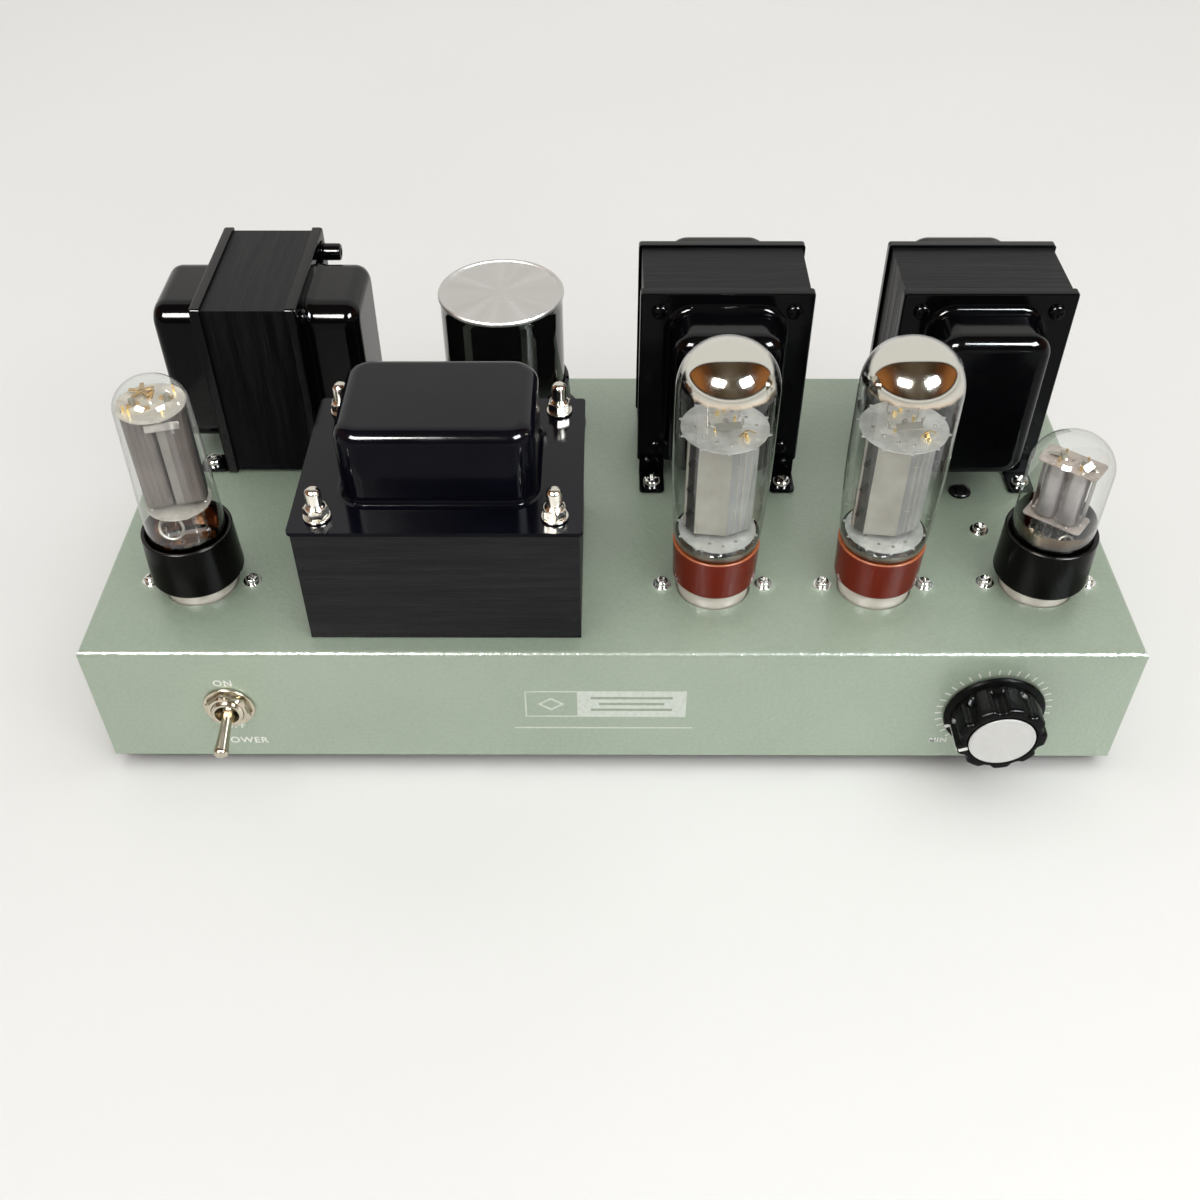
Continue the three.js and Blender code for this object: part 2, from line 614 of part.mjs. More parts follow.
// Flared ring that grips the can, with three screw holes in its flange.
function capacitorClamp() {
  const inner = CAPACITOR.radius + GAP;
  const { height, wall, flange, screwCircle } = CLAMP;
  const ring = turned([[inner, GAP], [flange, GAP], [flange, GAP + 1.6], [inner + 4, GAP + 2.4],
    [inner + 2.2, height * 0.45], [inner + wall, height], [inner, height], [inner, GAP]], 20);
  const holes = [0, 1, 2].map((i) => {
    const angle = Math.PI / 2 + (i * 2 * Math.PI) / 3;
    return pillar(screwCircle * Math.cos(angle), screwCircle * Math.sin(angle), 1.8, -1, 8, 6);
  });
  return cut(ring, ...holes);
}

function buildCapacitor(parent) {
  const group = deckGroup(parent, CAPACITOR.x, CAPACITOR.y);
  add(group, 'capacitor_can', capacitorCan(), LOOK.aluminium);
  add(group, 'capacitor_clamp', capacitorClamp(), LOOK.blackPlastic);
}

// ---------------------------------------------------------------- front controls

function toggleBody() {
  const { bushing, reach, body, lever } = TOGGLE;
  const back = CHASSIS.sheet + GAP;
  const casing = block([-body.width / 2, body.width / 2], [back, back + body.depth],
    [-body.height / 2, body.height / 2]);
  const neck = bar(0, 0, bushing, -reach, back + 1, 16);
  const lugs = [-9, 0, 9].map((z) => block([-2.4, 2.4], [back + body.depth - 1, back + body.depth + 7],
    [z - 0.5, z + 0.5]));
  const throat = bar(0, 0, bushing - 1.3, -reach - 1, lever.pivot - 1, 12, lever.ball + 0.7);
  const cup = bar(0, 0, lever.ball + 0.7, lever.pivot - 1.1, lever.pivot + 6, 12);
  return cut(join(casing, neck, ...lugs), throat, cup);
}

function toggleNut() {
  const { bushing, nutRadius, nutHeight, washer } = TOGGLE;
  const face = -GAP - 1;
  const ring = join(bar(0, 0, washer, face, -GAP, 16),
    bar(0, 0, nutRadius, face - nutHeight, -GAP - 0.4, 6));
  return cut(ring, bar(0, 0, bushing + GAP, -10, 2, 16));
}

// Bat lever lying along -Y from its pivot ball.
function toggleLever() {
  const { length, root, tip, ball } = TOGGLE.lever;
  return turned([[0, -ball], [ball * 0.7, -ball * 0.7], [ball, 0], [ball * 0.7, ball * 0.7], [root, ball],
    [root + 0.15, length * 0.55], [tip, length - 3], [tip, length - 1.6], [tip * 0.7, length - 0.4],
    [0, length]], 10).rotateX(Math.PI / 2);
}

function buildToggle(parent) {
  const group = new THREE.Group();
  group.position.set(TOGGLE.x, 0, TOGGLE.z);
  parent.add(group);
  add(group, 'toggle_body', toggleBody(), LOOK.nickel);
  add(group, 'toggle_nut', toggleNut(), LOOK.nickel);
  const lever = add(group, 'toggle_lever', toggleLever(), LOOK.nickel);
  lever.position.y = TOGGLE.lever.pivot;
  lever.rotation.x = TOGGLE.lever.tilt;
}

function volumePot() {
  const { bushing, bushingReach, nutRadius, nutHeight, body, shaft } = VOLUME;
  const back = CHASSIS.sheet + GAP;
  const casing = bar(0, 0, body.radius, back, back + body.depth, 16);
  const neck = bar(0, 0, bushing, -bushingReach, back + 1, 12);
  const nut = bar(0, 0, nutRadius, -GAP - nutHeight, -GAP, 6);
  const lugs = [-5, 0, 5].map((x) => block([x - 1, x + 1], [back + 4, back + 4.8], [-body.radius - 7, -5]));
  return cut(join(casing, neck, nut, ...lugs), bar(0, 0, shaft.radius + GAP, -20, back + 6, 12));
}

// Scalloped outline of the grip.
function gripOutline(radius, flutes, fluteDepth, perFlute = 4) {
  const points = Array.from({ length: flutes * perFlute }, (_, i) => {
    const angle = (2 * Math.PI * i) / (flutes * perFlute);
    const dip = Math.max(0, Math.cos(flutes * angle)) ** 1.5;
    const r = radius - fluteDepth * dip;
    return new THREE.Vector2(r * Math.cos(angle), r * Math.sin(angle));
  });
  return new THREE.Shape(points);
}

function volumeKnob() {
  const { knob, shaft } = VOLUME;
  const front = -knob.face;
  const grip = slab(gripOutline(knob.grip, knob.flutes, knob.fluteDepth), knob.skirtBack + 1, knob.face)
    .rotateX(Math.PI / 2);
  const skirt = bar(0, 0, knob.skirt - 0.6, -knob.skirtBack - knob.skirtSheet, -knob.skirtBack, 24,
    knob.skirt);
  const recess = bar(0, 0, knob.recess, -knob.recessDepth - GAP, 1, 16);
  const bore = bar(0, 0, shaft.radius + GAP, -shaft.reach - GAP, 1, 12);
  const seat = bar(0, 0, knob.cap + GAP, front - 1, front + knob.capDepth, 20);
  return cut(join(grip, skirt), recess, bore, seat);
}

function buildVolume(parent) {
  const { knob, shaft } = VOLUME;
  const group = new THREE.Group();
  group.position.set(VOLUME.x, 0, VOLUME.z);
  parent.add(group);
  add(group, 'volume_pot', volumePot(), LOOK.zinc);
  add(group, 'volume_shaft', bar(0, 0, shaft.radius, -shaft.reach, CHASSIS.sheet + 5, 12), LOOK.aluminium);
  add(group, 'volume_knob', volumeKnob(), LOOK.blackPlastic);
  const seat = -knob.face + knob.capDepth - GAP;
  add(group, 'knob_cap', bar(0, 0, knob.cap, seat - knob.capSheet, seat, 20), LOOK.aluminium);
}

// ---------------------------------------------------------------- rear connectors

function mainsInlet() {
  const { flange, body, cavity, drawer } = INLET;
  const [face, back] = [GAP + flange.sheet, -body.depth];
  const shell = join(
    block([-flange.width / 2, flange.width / 2], [GAP, face], [-flange.height / 2, flange.height / 2]),
    block([-body.width / 2, body.width / 2], [back, GAP + 0.5], [-body.height / 2, body.height / 2]),
  );
  const pocket = block([cavity.x - cavity.width / 2, cavity.x + cavity.width / 2],
    [face - cavity.depth, face + 1], [-cavity.height / 2, cavity.height / 2]);
  const slot = block([drawer.x - drawer.width / 2, drawer.x + drawer.width / 2],
    [face - drawer.depth, face + 1], [-drawer.height / 2, drawer.height / 2]);
  const blades = [[-7, -2], [0, 2], [7, -2]].map(([x, z]) => block([cavity.x + x - 1, cavity.x + x + 1],
    [face - cavity.depth - 1, face - 6], [z - 2, z + 2]));
  return join(cut(shell, pocket, slot), ...blades);
}

// Fuse carrier with a thumb lip.
function fuseDrawer() {
  const { flange, drawer } = INLET;
  const face = GAP + flange.sheet;
  const [x, z] = [drawer.width / 2 - GAP, drawer.height / 2 - GAP];
  const tray = block([-x, x], [face - drawer.depth + GAP, face + 0.8], [-z, z]);
  const lip = block([-x, x], [face, face + 2.6], [z - 4, z]);
  const fuseBed = block([1 - x, x - 1], [face - drawer.depth + 3, face - 3], [-z - 1, z - 2.5]);
  return cut(join(tray, lip), fuseBed).translate(drawer.x, 0, 0);
}

function inputJacks() {
  const { pitch, width, height, sheet, barrel, contact, reach } = JACKS;
  const face = GAP + sheet;
  const plate = block([-width / 2, width / 2], [GAP, face], [-height / 2, height / 2]);
  const barrels = [-0.5, 0.5].map((side) => bar(side * pitch, 0, barrel, -12, face + reach, 12));
  const contacts = [-0.5, 0.5].map((side) => bar(side * pitch, 0, contact, face, face + reach + 1, 8));
  return cut(join(plate, ...barrels), ...contacts);
}

function speakerPosts() {
  const { pitch, width, height, sheet, collar, collarHeight, stem: stemRadius, reach } = POSTS;
  const face = GAP + sheet;
  const plate = block([-width / 2, width / 2], [GAP, face], [-height / 2, height / 2]);
  const stems = [-0.5, 0.5].map((side) => bar(side * pitch, 0, stemRadius, -13, face + reach, 8));
  const collars = [-0.5, 0.5].map((side) => (
    bar(side * pitch, 0, collar, face - 0.5, face + collarHeight, 12)));
  return join(plate, ...stems, ...collars);
}

// Knurled cap that screws along its stem.
function postCap() {
  const { sheet, collarHeight, cap, capLength, capBore } = POSTS;
  const start = GAP + sheet + collarHeight + GAP;
  const grip = slab(gripOutline(cap, 8, 0.5, 2), 0, capLength).rotateX(-Math.PI / 2).translate(0, start, 0);
  return cut(grip, bar(0, 0, capBore, start - 1, start + capLength + 1, 10));
}

function buildRear(parent) {
  const rear = new THREE.Group();
  rear.position.set(0, REAR_Y, REAR_Z);
  parent.add(rear);
  add(rear, 'mains_inlet', mainsInlet(), LOOK.blackPlastic).position.x = INLET.x;
  add(rear, 'fuse_drawer', fuseDrawer(), LOOK.blackPlastic).position.x = INLET.x;
  add(rear, 'input_jacks', inputJacks(), LOOK.brass).position.x = JACKS.x;
  POSTS.names.forEach((sideName, i) => {
    add(rear, `speaker_posts_${sideName}`, speakerPosts(), LOOK.brass).position.x = POSTS.x[i];
    ['minus', 'plus'].forEach((signName, j) => {
      const cap = add(rear, `post_cap_${sideName}_${signName}`, postCap(), LOOK.blackPlastic);
      cap.position.x = POSTS.x[i] + (j - 0.5) * POSTS.pitch;
    });
  });
}

// ---------------------------------------------------------------- tag board

function componentBoard() {
  const { width, depth, sheet, top, hanger } = BOARD;
  const shapes = [block([-width / 2, width / 2], [-depth / 2, depth / 2], [top - sheet, top])];
  for (const sx of [-1, 1]) {
    for (const sy of [-1, 1]) {
      shapes.push(pillar(sx * (width / 2 - 5), sy * (depth / 2 - 5), hanger, top - 0.5,
        DECK_UNDERSIDE - GAP, 6));
    }
  }
  for (const x of [-38, -18]) shapes.push(bar(x, top + 7, 7.5, -16, 16, 8)); // electrolytic capacitors
  for (const x of [2, 14]) shapes.push(bar(x, top + 4, 4.5, -12, 12, 8)); // coupling capacitors
  for (const x of [26, 33, 40]) shapes.push(bar(x, top + 1.6, 2.2, -8, 8, 6)); // resistors
  return join(...shapes);
}

// ---------------------------------------------------------------- assembly

const amplifier = new THREE.Group();
const assembly = new THREE.Group();
amplifier.add(assembly);

buildChassis(assembly);
buildTubes(assembly);
buildMainsTransformer(assembly);
buildFrameTransformer(assembly, CHOKE, ['left', 'right']);
for (const unit of OUTPUTS) buildFrameTransformer(assembly, unit, ['front', 'rear']);
buildCapacitor(assembly);
buildToggle(assembly);
buildVolume(assembly);
buildRear(assembly);
add(deckGroup(assembly, BOARD.x, BOARD.y), 'component_board', componentBoard(), LOOK.board);

// Bottom centre of the bounding box becomes the origin.
const bounds = new THREE.Box3().setFromObject(assembly, true);
const centre = bounds.getCenter(new THREE.Vector3());
assembly.position.set(-centre.x, -centre.y, -bounds.min.z);

export default amplifier;
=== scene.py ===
import math
import random

import bmesh
import bpy
from mathutils import Matrix, Vector


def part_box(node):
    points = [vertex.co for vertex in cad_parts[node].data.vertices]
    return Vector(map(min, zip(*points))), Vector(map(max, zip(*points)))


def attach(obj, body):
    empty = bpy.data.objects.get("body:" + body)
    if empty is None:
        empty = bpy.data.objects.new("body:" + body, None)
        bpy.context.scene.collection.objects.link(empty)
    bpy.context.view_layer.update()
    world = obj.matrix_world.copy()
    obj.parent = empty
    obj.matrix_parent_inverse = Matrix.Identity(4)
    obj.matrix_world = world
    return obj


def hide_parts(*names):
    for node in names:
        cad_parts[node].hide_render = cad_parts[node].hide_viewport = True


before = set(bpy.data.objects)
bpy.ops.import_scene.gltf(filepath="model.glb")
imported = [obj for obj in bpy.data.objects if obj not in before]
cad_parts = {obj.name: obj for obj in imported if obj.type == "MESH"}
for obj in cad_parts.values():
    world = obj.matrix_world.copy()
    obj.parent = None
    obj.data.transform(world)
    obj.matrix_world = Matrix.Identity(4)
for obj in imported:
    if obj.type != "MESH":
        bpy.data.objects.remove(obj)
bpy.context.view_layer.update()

# Everything below is measured in millimetres in the row frame, and scaled to metres by piece().
MM = 0.001
TAU = 2 * math.pi


def box(node):
    """Lowest and highest corner of a CAD node, in millimetres."""
    low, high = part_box(node)
    return low / MM, high / MM


def centre(node):
    low, high = box(node)
    return (low + high) / 2


FRONT = box("chassis")[0].y
REAR = box("chassis")[1].y
DECK = box("chassis")[1].z
PANEL_BASE = box("chassis")[0].z

# ------------------------------------------------------------------ camera and light
# Lens, place and angles were solved from points of the photo that the CAD part also has.

LENS = 38.716
CAMERA_PLACE = (-0.00218, -0.40127, 0.39114)
PITCH, YAW, ROLL = math.radians(43.821), math.radians(0.336), math.radians(-0.141)


def add_camera():
    turn = Matrix.Rotation(YAW, 3, "Z")
    forward = turn @ Vector((0, math.cos(PITCH), -math.sin(PITCH)))
    up = turn @ Vector((0, math.sin(PITCH), math.cos(PITCH)))
    right = turn @ Vector((1, 0, 0))
    right, up = (math.cos(ROLL) * right + math.sin(ROLL) * up,
                 math.cos(ROLL) * up - math.sin(ROLL) * right)
    data = bpy.data.cameras.new("camera")
    data.lens, data.sensor_width = LENS, 36
    camera = bpy.data.objects.new("camera", data)
    bpy.context.scene.collection.objects.link(camera)
    matrix = Matrix((right, up, -forward)).transposed().to_4x4()
    matrix.translation = CAMERA_PLACE
    camera.matrix_world = matrix
    bpy.context.scene.camera = camera


def add_light(name, place, target, size, power, colour, seen_in):
    """Soft rectangular light that only matt or only shiny surfaces see."""
    data = bpy.data.lights.new(name, "AREA")
    data.shape, data.size, data.size_y = "RECTANGLE", size[0], size[1]
    data.energy, data.color = power, colour
    lamp = bpy.data.objects.new(name, data)
    lamp.location = place
    lamp.rotation_euler = (Vector(target) - Vector(place)).to_track_quat("-Z", "Y").to_euler()
    lamp.visible_glossy = seen_in == "shiny"
    lamp.visible_diffuse = seen_in == "matt"
    bpy.context.scene.collection.objects.link(lamp)


WHITE_SWEEP = (0.86, 0.84, 0.81)


def add_world():
    """Plain pale surroundings."""
    world = bpy.data.worlds.new("studio")
    bpy.context.scene.world = world
    world.use_nodes = True
    background = world.node_tree.nodes["Background"]
    background.inputs["Color"].default_value = (0.60, 0.592, 0.575, 1)
    background.inputs["Strength"].default_value = 1.0


add_camera()
add_light("softbox_left", (-0.52, -0.86, 0.98), (0, 0, 0.08), (0.56, 0.36), 62.0, (1, 0.98, 0.95),
          "shiny")
add_light("window_right", (0.66, -0.66, 0.86), (0, 0, 0.08), (0.52, 0.36), 58.0, (0.90, 0.96, 1), "shiny")
add_light("overhead", (0.15, 0.1, 3.0), (0.15, 0.1, 0), (4.5, 4.5), 50.0, (0.985, 1.0, 0.99), "matt")
add_light("front_fill", (0.65, -1.05, 1.25), (0.1, -0.30, 0.0), (1.2, 0.6), 6.5, (0.985, 1, 0.99), "matt")
add_world()
view = bpy.context.scene.view_settings
view.view_transform = "Standard"

# ------------------------------------------------------------------ materials


class Look:
    """A node material around one Principled shader. Coordinates are the piece's own, in metres."""

    def __init__(self, name, colour, rough=0.4, metal=0.0, coat=0.0, specular=0.5):
        self.material = bpy.data.materials.new(name)
        self.material.use_nodes = True
        self.tree = self.material.node_tree
        self.shader = self.tree.nodes["Principled BSDF"]
        self.shader.inputs["Base Color"].default_value = (*colour, 1)
        self.shader.inputs["Roughness"].default_value = rough
        self.shader.inputs["Metallic"].default_value = metal
        self.shader.inputs["Specular IOR Level"].default_value = specular
        self.shader.inputs["Coat Weight"].default_value = coat
        self.shader.inputs["Coat Roughness"].default_value = 0.06
        self.place = self.tree.nodes.new("ShaderNodeTexCoord").outputs["Object"]
        self.height = None

    def node(self, kind, *sockets, **settings):
        made = self.tree.nodes.new("ShaderNode" + kind)
        for key, value in settings.items():
            setattr(made, key, value)
        for socket, value in zip(made.inputs, sockets):
            if isinstance(value, bpy.types.NodeSocket):
                self.tree.links.new(value, socket)
            elif value is not None:
                socket.default_value = value
        return made

    def stretched(self, scale, turn=(0, 0, 0)):
        """The piece's coordinates, scaled along each axis."""
        return self.node("Mapping", self.place, None, turn, scale).outputs[0]

    def noise(self, scale, detail=2.0, rough=0.5, place=None, distort=0.0):
        made = self.node("TexNoise", place or self.place)
        made.inputs["Scale"].default_value = scale
        made.inputs["Detail"].default_value = detail
        made.inputs["Roughness"].default_value = rough
        made.inputs["Distortion"].default_value = distort
        return made.outputs["Fac"]

    def ramp(self, fac, *stops):
        made = self.node("ValToRGB", fac)
        elements = made.color_ramp.elements
        while len(elements) > 1:
            elements.remove(elements[0])
        for i, (place, colour) in enumerate(stops):
            colour = (colour,) * 3 if isinstance(colour, float) else colour
            stop = elements[0] if i == 0 else elements.new(place)
            stop.position, stop.color = place, (*colour, 1)
        return made.outputs[0]

    def remap(self, value, low, high, to_low, to_high):
        made = self.node("MapRange", value, low, high, to_low, to_high)
        return made.outputs[0]

    def maths(self, kind, first, second=0.5, clamp=False):
        return self.node("Math", first, second, operation=kind, use_clamp=clamp).outputs[0]

    def colour(self, fac, *stops):
        self.tree.links.new(self.ramp(fac, *stops), self.shader.inputs["Base Color"])
        return self

    def rough(self, fac, low, high):
        self.tree.links.new(self.remap(fac, 0.3, 0.7, low, high), self.shader.inputs["Roughness"])
        return self

    def bump(self, height, strength, depth):
        """Adds relief, depth in metres. Calls stack."""
        made = self.node("Bump")
        made.inputs["Strength"].default_value = strength
        made.inputs["Distance"].default_value = depth
        self.tree.links.new(height, made.inputs["Height"])
        if self.height is not None:
            self.tree.links.new(self.height, made.inputs["Normal"])
        self.height = made.outputs[0]
        self.tree.links.new(self.height, self.shader.inputs["Normal"])
        return self

    def shine(self, upright, level):
        """Specular level of the upright faces and of those that look up."""
        up = self.node("SeparateXYZ", self.node("NewGeometry").outputs["Normal"]).outputs["Z"]
        self.tree.links.new(self.remap(up, 0.1, 0.85, upright, level),
                            self.shader.inputs["Specular IOR Level"])
        return self

    def see_through(self, amount):
        """Mixes the shader with a clear one. amount is a socket: 1 is clear."""
        clear = self.tree.nodes.new("ShaderNodeBsdfTransparent")
        mix = self.node("MixShader", amount, self.shader.outputs[0], clear.outputs[0])
        output = self.tree.nodes["Material Output"]
        self.tree.links.new(mix.outputs[0], output.inputs["Surface"])
        return self


def powder_coat():
    look = Look("powder_coat", (0.31, 0.37, 0.28), 0.30, specular=0.66)
    # The pebble noise is the hammered relief and also painted shading of that relief in the colour; the
    # broad noise is tone that differs at random.
    pebble_bump_and_shade = look.noise(640, 2, 0.5)
    tone = look.maths("ADD", look.maths("MULTIPLY", look.noise(14, 3), 0.6),
                      look.maths("MULTIPLY", pebble_bump_and_shade, 0.4))
    look.colour(tone, (0.3, (0.285, 0.350, 0.264)), (0.7, (0.355, 0.424, 0.330)))
    look.rough(look.noise(700, 2), 0.295, 0.305)
    look.bump(look.noise(1700, 1), 0.25, 0.00005)
    return look.bump(pebble_bump_and_shade, 0.70, 0.00032).material


def enamel(name="black_enamel", colour=(0.0016, 0.0017, 0.0022), rough=0.10, upright=0.06, level=0.27):
    look = Look(name, colour, rough).shine(upright, level)
    look.colour(look.noise(60, 3), (0.3, colour), (0.75, tuple(c * 1.6 for c in colour)))
    look.rough(look.noise(45, 4, 0.6), rough * 0.75, rough * 1.45)
    return look.bump(look.noise(260, 2), 0.08, 0.00015).material


def laminations(name, axis, upright):
    """Varnished sheets stacked along an axis, 0.5 mm each."""
    look = Look(name, (0.006, 0.006, 0.007), 0.42).shine(upright, 0.17)
    along = [60, 60, 60]
    along[axis] = 2300
    fine = look.noise(1.0, 3, 0.6, look.stretched(along))
    wide = [22, 22, 22]
    wide[axis] = 420
    broad = look.noise(1.0, 2, 0.5, look.stretched(wide))
    both = look.maths("ADD", look.maths("MULTIPLY", fine, 0.55), look.maths("MULTIPLY", broad, 0.45))
    look.colour(both, (0.36, (0.0025, 0.0025, 0.0032)), (0.52, (0.0060, 0.0058, 0.0072)),
                (0.70, (0.0130, 0.0125, 0.0145)))
    look.rough(broad, 0.30, 0.52)
    look.bump(broad, 0.35, 0.0004)
    return look.bump(fine, 0.5, 0.00025).material


def plated(name, colour, rough=0.16, brushed=None):
    look = Look(name, colour, rough, metal=1.0)
    where = look.stretched(brushed) if brushed else look.place
    look.colour(look.noise(220, 3, place=None), (0.3, tuple(c * 0.86 for c in colour)), (0.7, colour))
    look.rough(look.noise(1.0 if brushed else 500, 3, 0.6, where), rough * 0.7, rough * 1.5)
    return look.bump(look.noise(1.0 if brushed else 350, 2, 0.5, where), 0.12, 0.0001).material


def moulded(name, colour, rough=0.3, grain=(900, 900, 120), upright=0.30, level=0.34):
    look = Look(name, colour, rough).shine(upright, level)
    streak = look.noise(1.0, 3, 0.55, look.stretched(grain))
    look.colour(streak, (0.3, tuple(c * 0.90 for c in colour)), (0.7, tuple(c * 1.10 for c in colour)))
    look.rough(streak, rough * 0.8, rough * 1.25)
    return look.bump(streak, 0.05, 0.0001).material


def clear_glass(name, tint=(0.97, 0.98, 0.97), haze=0.0):
    """One face of a thin wall: clear, with reflections that grow towards the edge."""
    look = Look(name, (0.9, 0.92, 0.9), 0.02, specular=0.5)
    facing = look.node("LayerWeight", 0.5).outputs["Facing"]
    shine = look.maths("MULTIPLY_ADD", look.maths("POWER", facing, 3.6), 0.92)
    shine.node.inputs[2].default_value = 0.045 + haze
    clear = look.node("BsdfTransparent")
    look.tree.links.new(look.ramp(facing, (0.0, tint), (0.70, tuple(c * 0.96 for c in tint)),
                                  (1.0, tuple(c * 0.45 for c in tint))), clear.inputs[0])
    gloss = look.node("BsdfGlossy", (1, 1, 1, 1), 0.015)
    wave = look.node("Bump")
    wave.inputs["Strength"].default_value = 0.06
    wave.inputs["Distance"].default_value = 0.0004
    look.tree.links.new(look.noise(90, 2), wave.inputs["Height"])
    look.tree.links.new(wave.outputs[0], gloss.inputs["Normal"])
    mix = look.node("MixShader", shine, clear.outputs[0], gloss.outputs[0])
    look.tree.links.new(mix.outputs[0], look.tree.nodes["Material Output"].inputs["Surface"])
    return look.material


def mirror_film(name, low, high, inner, edge, ragged=0.9):
    """A getter's metal film on the inside of the glass, fading out below low (metres)."""
    look = Look(name, inner, 0.06, metal=1.0)
    height = look.node("SeparateXYZ", look.place).outputs["Z"]
    fade = look.remap(height, low, high, 0.0, 1.0)
    noise = look.noise(210, 3, 0.6)
    tone = look.maths("ADD", fade, look.maths("MULTIPLY", noise, 0.35))
    look.colour(tone, (0.15, edge), (0.75, inner), (1.2, inner))
    look.rough(noise, 0.05, 0.13)
    limit = look.maths("ADD", look.maths("MULTIPLY", noise, ragged), fade)
    look.see_through(look.ramp(limit, (0.40, 1.0), (0.58, 0.0)))
    return look.material


def mica(name="mica", colour=(0.60, 0.60, 0.58), clear=0.16):
    look = Look(name, colour, 0.24, specular=0.5)
    flakes = look.noise(120, 3, 0.55)
    look.colour(flakes, (0.32, tuple(c * 0.80 for c in colour)), (0.52, colour),
                (0.72, tuple(c * 1.18 for c in colour)))
    look.rough(flakes, 0.16, 0.36)
    look.bump(look.noise(300, 2), 0.15, 0.00015)
    return look.see_through(look.remap(flakes, 0.35, 0.65, clear, clear * 0.55)).material


def sheet_metal(name, colour, rough=0.42, metal=0.75, across=(700, 700, 40)):
    look = Look(name, colour, rough, metal=metal)
    grain = look.noise(1.0, 3, 0.6, look.stretched(across))
    stain = look.noise(80, 3)
    look.colour(stain, (0.3, tuple(c * 0.80 for c in colour)), (0.7, tuple(c * 1.12 for c in colour)))
    look.rough(grain, rough * 0.8, rough * 1.25)
    return look.bump(grain, 0.2, 0.00012).material


def spun(name, colour, middle, axis, rough=(0.22, 0.36), metal=1.0):
    """Turned metal with rings about an axis through a point (metres) and bright spokes of glint."""
    look = Look(name, colour, 0.24, metal=metal, specular=0.3)
    offset = look.node("VectorMath", look.place, middle, operation="SUBTRACT").outputs[0]
    split = look.node("SeparateXYZ", offset).outputs
    first, second = [split[i] for i in range(3) if i != axis]
    radius = look.maths("SQRT", look.maths("ADD", look.maths("MULTIPLY", first, first),
                                           look.maths("MULTIPLY", second, second)))
    rings = look.noise(2600, 2, 0.6, look.node("CombineXYZ", radius).outputs[0])
    angle = look.maths("ARCTAN2", second, first)
    spokes = look.noise(2.2, 3, 0.6, look.node("CombineXYZ", angle).outputs[0])
    look.colour(spokes, (0.3, tuple(c * 0.93 for c in colour)), (0.7, colour))
    look.rough(spokes, *rough)
    return look.bump(rings, 0.12, 0.00005).material


def paint(name, colour, rough=0.45):
    look = Look(name, colour, rough)
    wear = look.noise(500, 3)
    look.colour(wear, (0.3, tuple(c * 0.88 for c in colour)), (0.6, colour))
    return look.bump(look.noise(900, 2), 0.2, 0.0001).material


def rubber():
    look = Look("rubber", (0.013, 0.013, 0.013), 0.75)
    look.colour(look.noise(300, 4), (0.3, (0.008, 0.008, 0.008)), (0.7, (0.022, 0.022, 0.021)))
    return look.bump(look.noise(1200, 2), 0.4, 0.0002).material


def ceramic():
    look = Look("glazed_ceramic", (0.66, 0.61, 0.54), 0.14, coat=0.4)
    look.colour(look.noise(120, 3), (0.3, (0.60, 0.545, 0.475)), (0.7, (0.68, 0.63, 0.56)))
    look.rough(look.noise(160, 3), 0.10, 0.24)
    return look.bump(look.noise(260, 2), 0.15, 0.0002).material


def winding():
    look = Look("winding", (0.36, 0.12, 0.04), 0.35)
    turns = look.noise(1.0, 2, 0.5, look.stretched((1400, 1400, 1400)))
    look.colour(turns, (0.3, (0.16, 0.05, 0.02)), (0.7, (0.45, 0.17, 0.06)))
    return look.bump(turns, 0.5, 0.0003).material


def floor_paper():
    look = Look("floor_paper", (0.80, 0.79, 0.77), 0.6)
    look.colour(look.noise(2.0, 2), (0.3, (0.775, 0.762, 0.745)), (0.7, (0.805, 0.795, 0.785)))
    return look.material


COAT = powder_coat()
ENAMEL = enamel()
ENAMEL_BLUE = enamel("blue_black_enamel", (0.0022, 0.0024, 0.0048), 0.11, 0.05, 0.26)
CORE_X = laminations("laminations_x", 0, 0.03)
CORE_Y = laminations("laminations_y", 1, 0.10)
CORE_Z = laminations("laminations_z", 2, 0.13)
NICKEL = plated("nickel", (0.78, 0.74, 0.66), 0.15)
AGED_NICKEL = plated("aged_nickel", (0.50, 0.45, 0.36), 0.17)
CHROME = plated("chrome", (0.80, 0.80, 0.78), 0.12)
ZINC = plated("zinc", (0.55, 0.55, 0.53), 0.3)
BLACK_BOLT = plated("black_oxide", (0.035, 0.035, 0.038), 0.35)
GOLD = plated("gold_plate", (0.86, 0.63, 0.26), 0.18)
DARK_WIRE = plated("dark_wire", (0.16, 0.15, 0.13), 0.35)
TIN = plated("tinned_wire", (0.62, 0.60, 0.56), 0.25)
RUBBER = rubber()
CERAMIC = ceramic()
BROWN_BASE = moulded("brown_phenolic", (0.145, 0.0125, 0.0035), 0.18, upright=0.10)
BROWN_RIM = moulded("brown_phenolic_rim", (0.42, 0.11, 0.035), 0.3)
BLACK_BASE = moulded("black_phenolic", (0.0028, 0.0028, 0.0022), 0.20, upright=0.045)
BLACK_PLASTIC = moulded("black_plastic", (0.0030, 0.0034, 0.0030), 0.26, (400, 400, 400), 0.08)
KNOB_PLASTIC = moulded("knob_plastic", (0.0030, 0.0034, 0.0030), 0.24, (150, 150, 150), 0.05, 0.085)
RED_PLASTIC = moulded("red_plastic", (0.36, 0.012, 0.012), 0.25, (400, 400, 400))
WHITE_PLASTIC = moulded("white_plastic", (0.72, 0.71, 0.68), 0.3, (400, 400, 400))
GLASS = clear_glass("tube_glass")
STEM_GLASS = clear_glass("stem_glass", (0.86, 0.87, 0.87), 0.10)
MICA = mica()
MICA_TAN = mica("mica_tan", (0.62, 0.58, 0.52), 0.12)
MICA_PINK = mica("mica_pink", (0.52, 0.44, 0.40), 0.34)
PLATE_GREY = sheet_metal("plate_grey", (0.33, 0.315, 0.27), 0.45, 0.35)
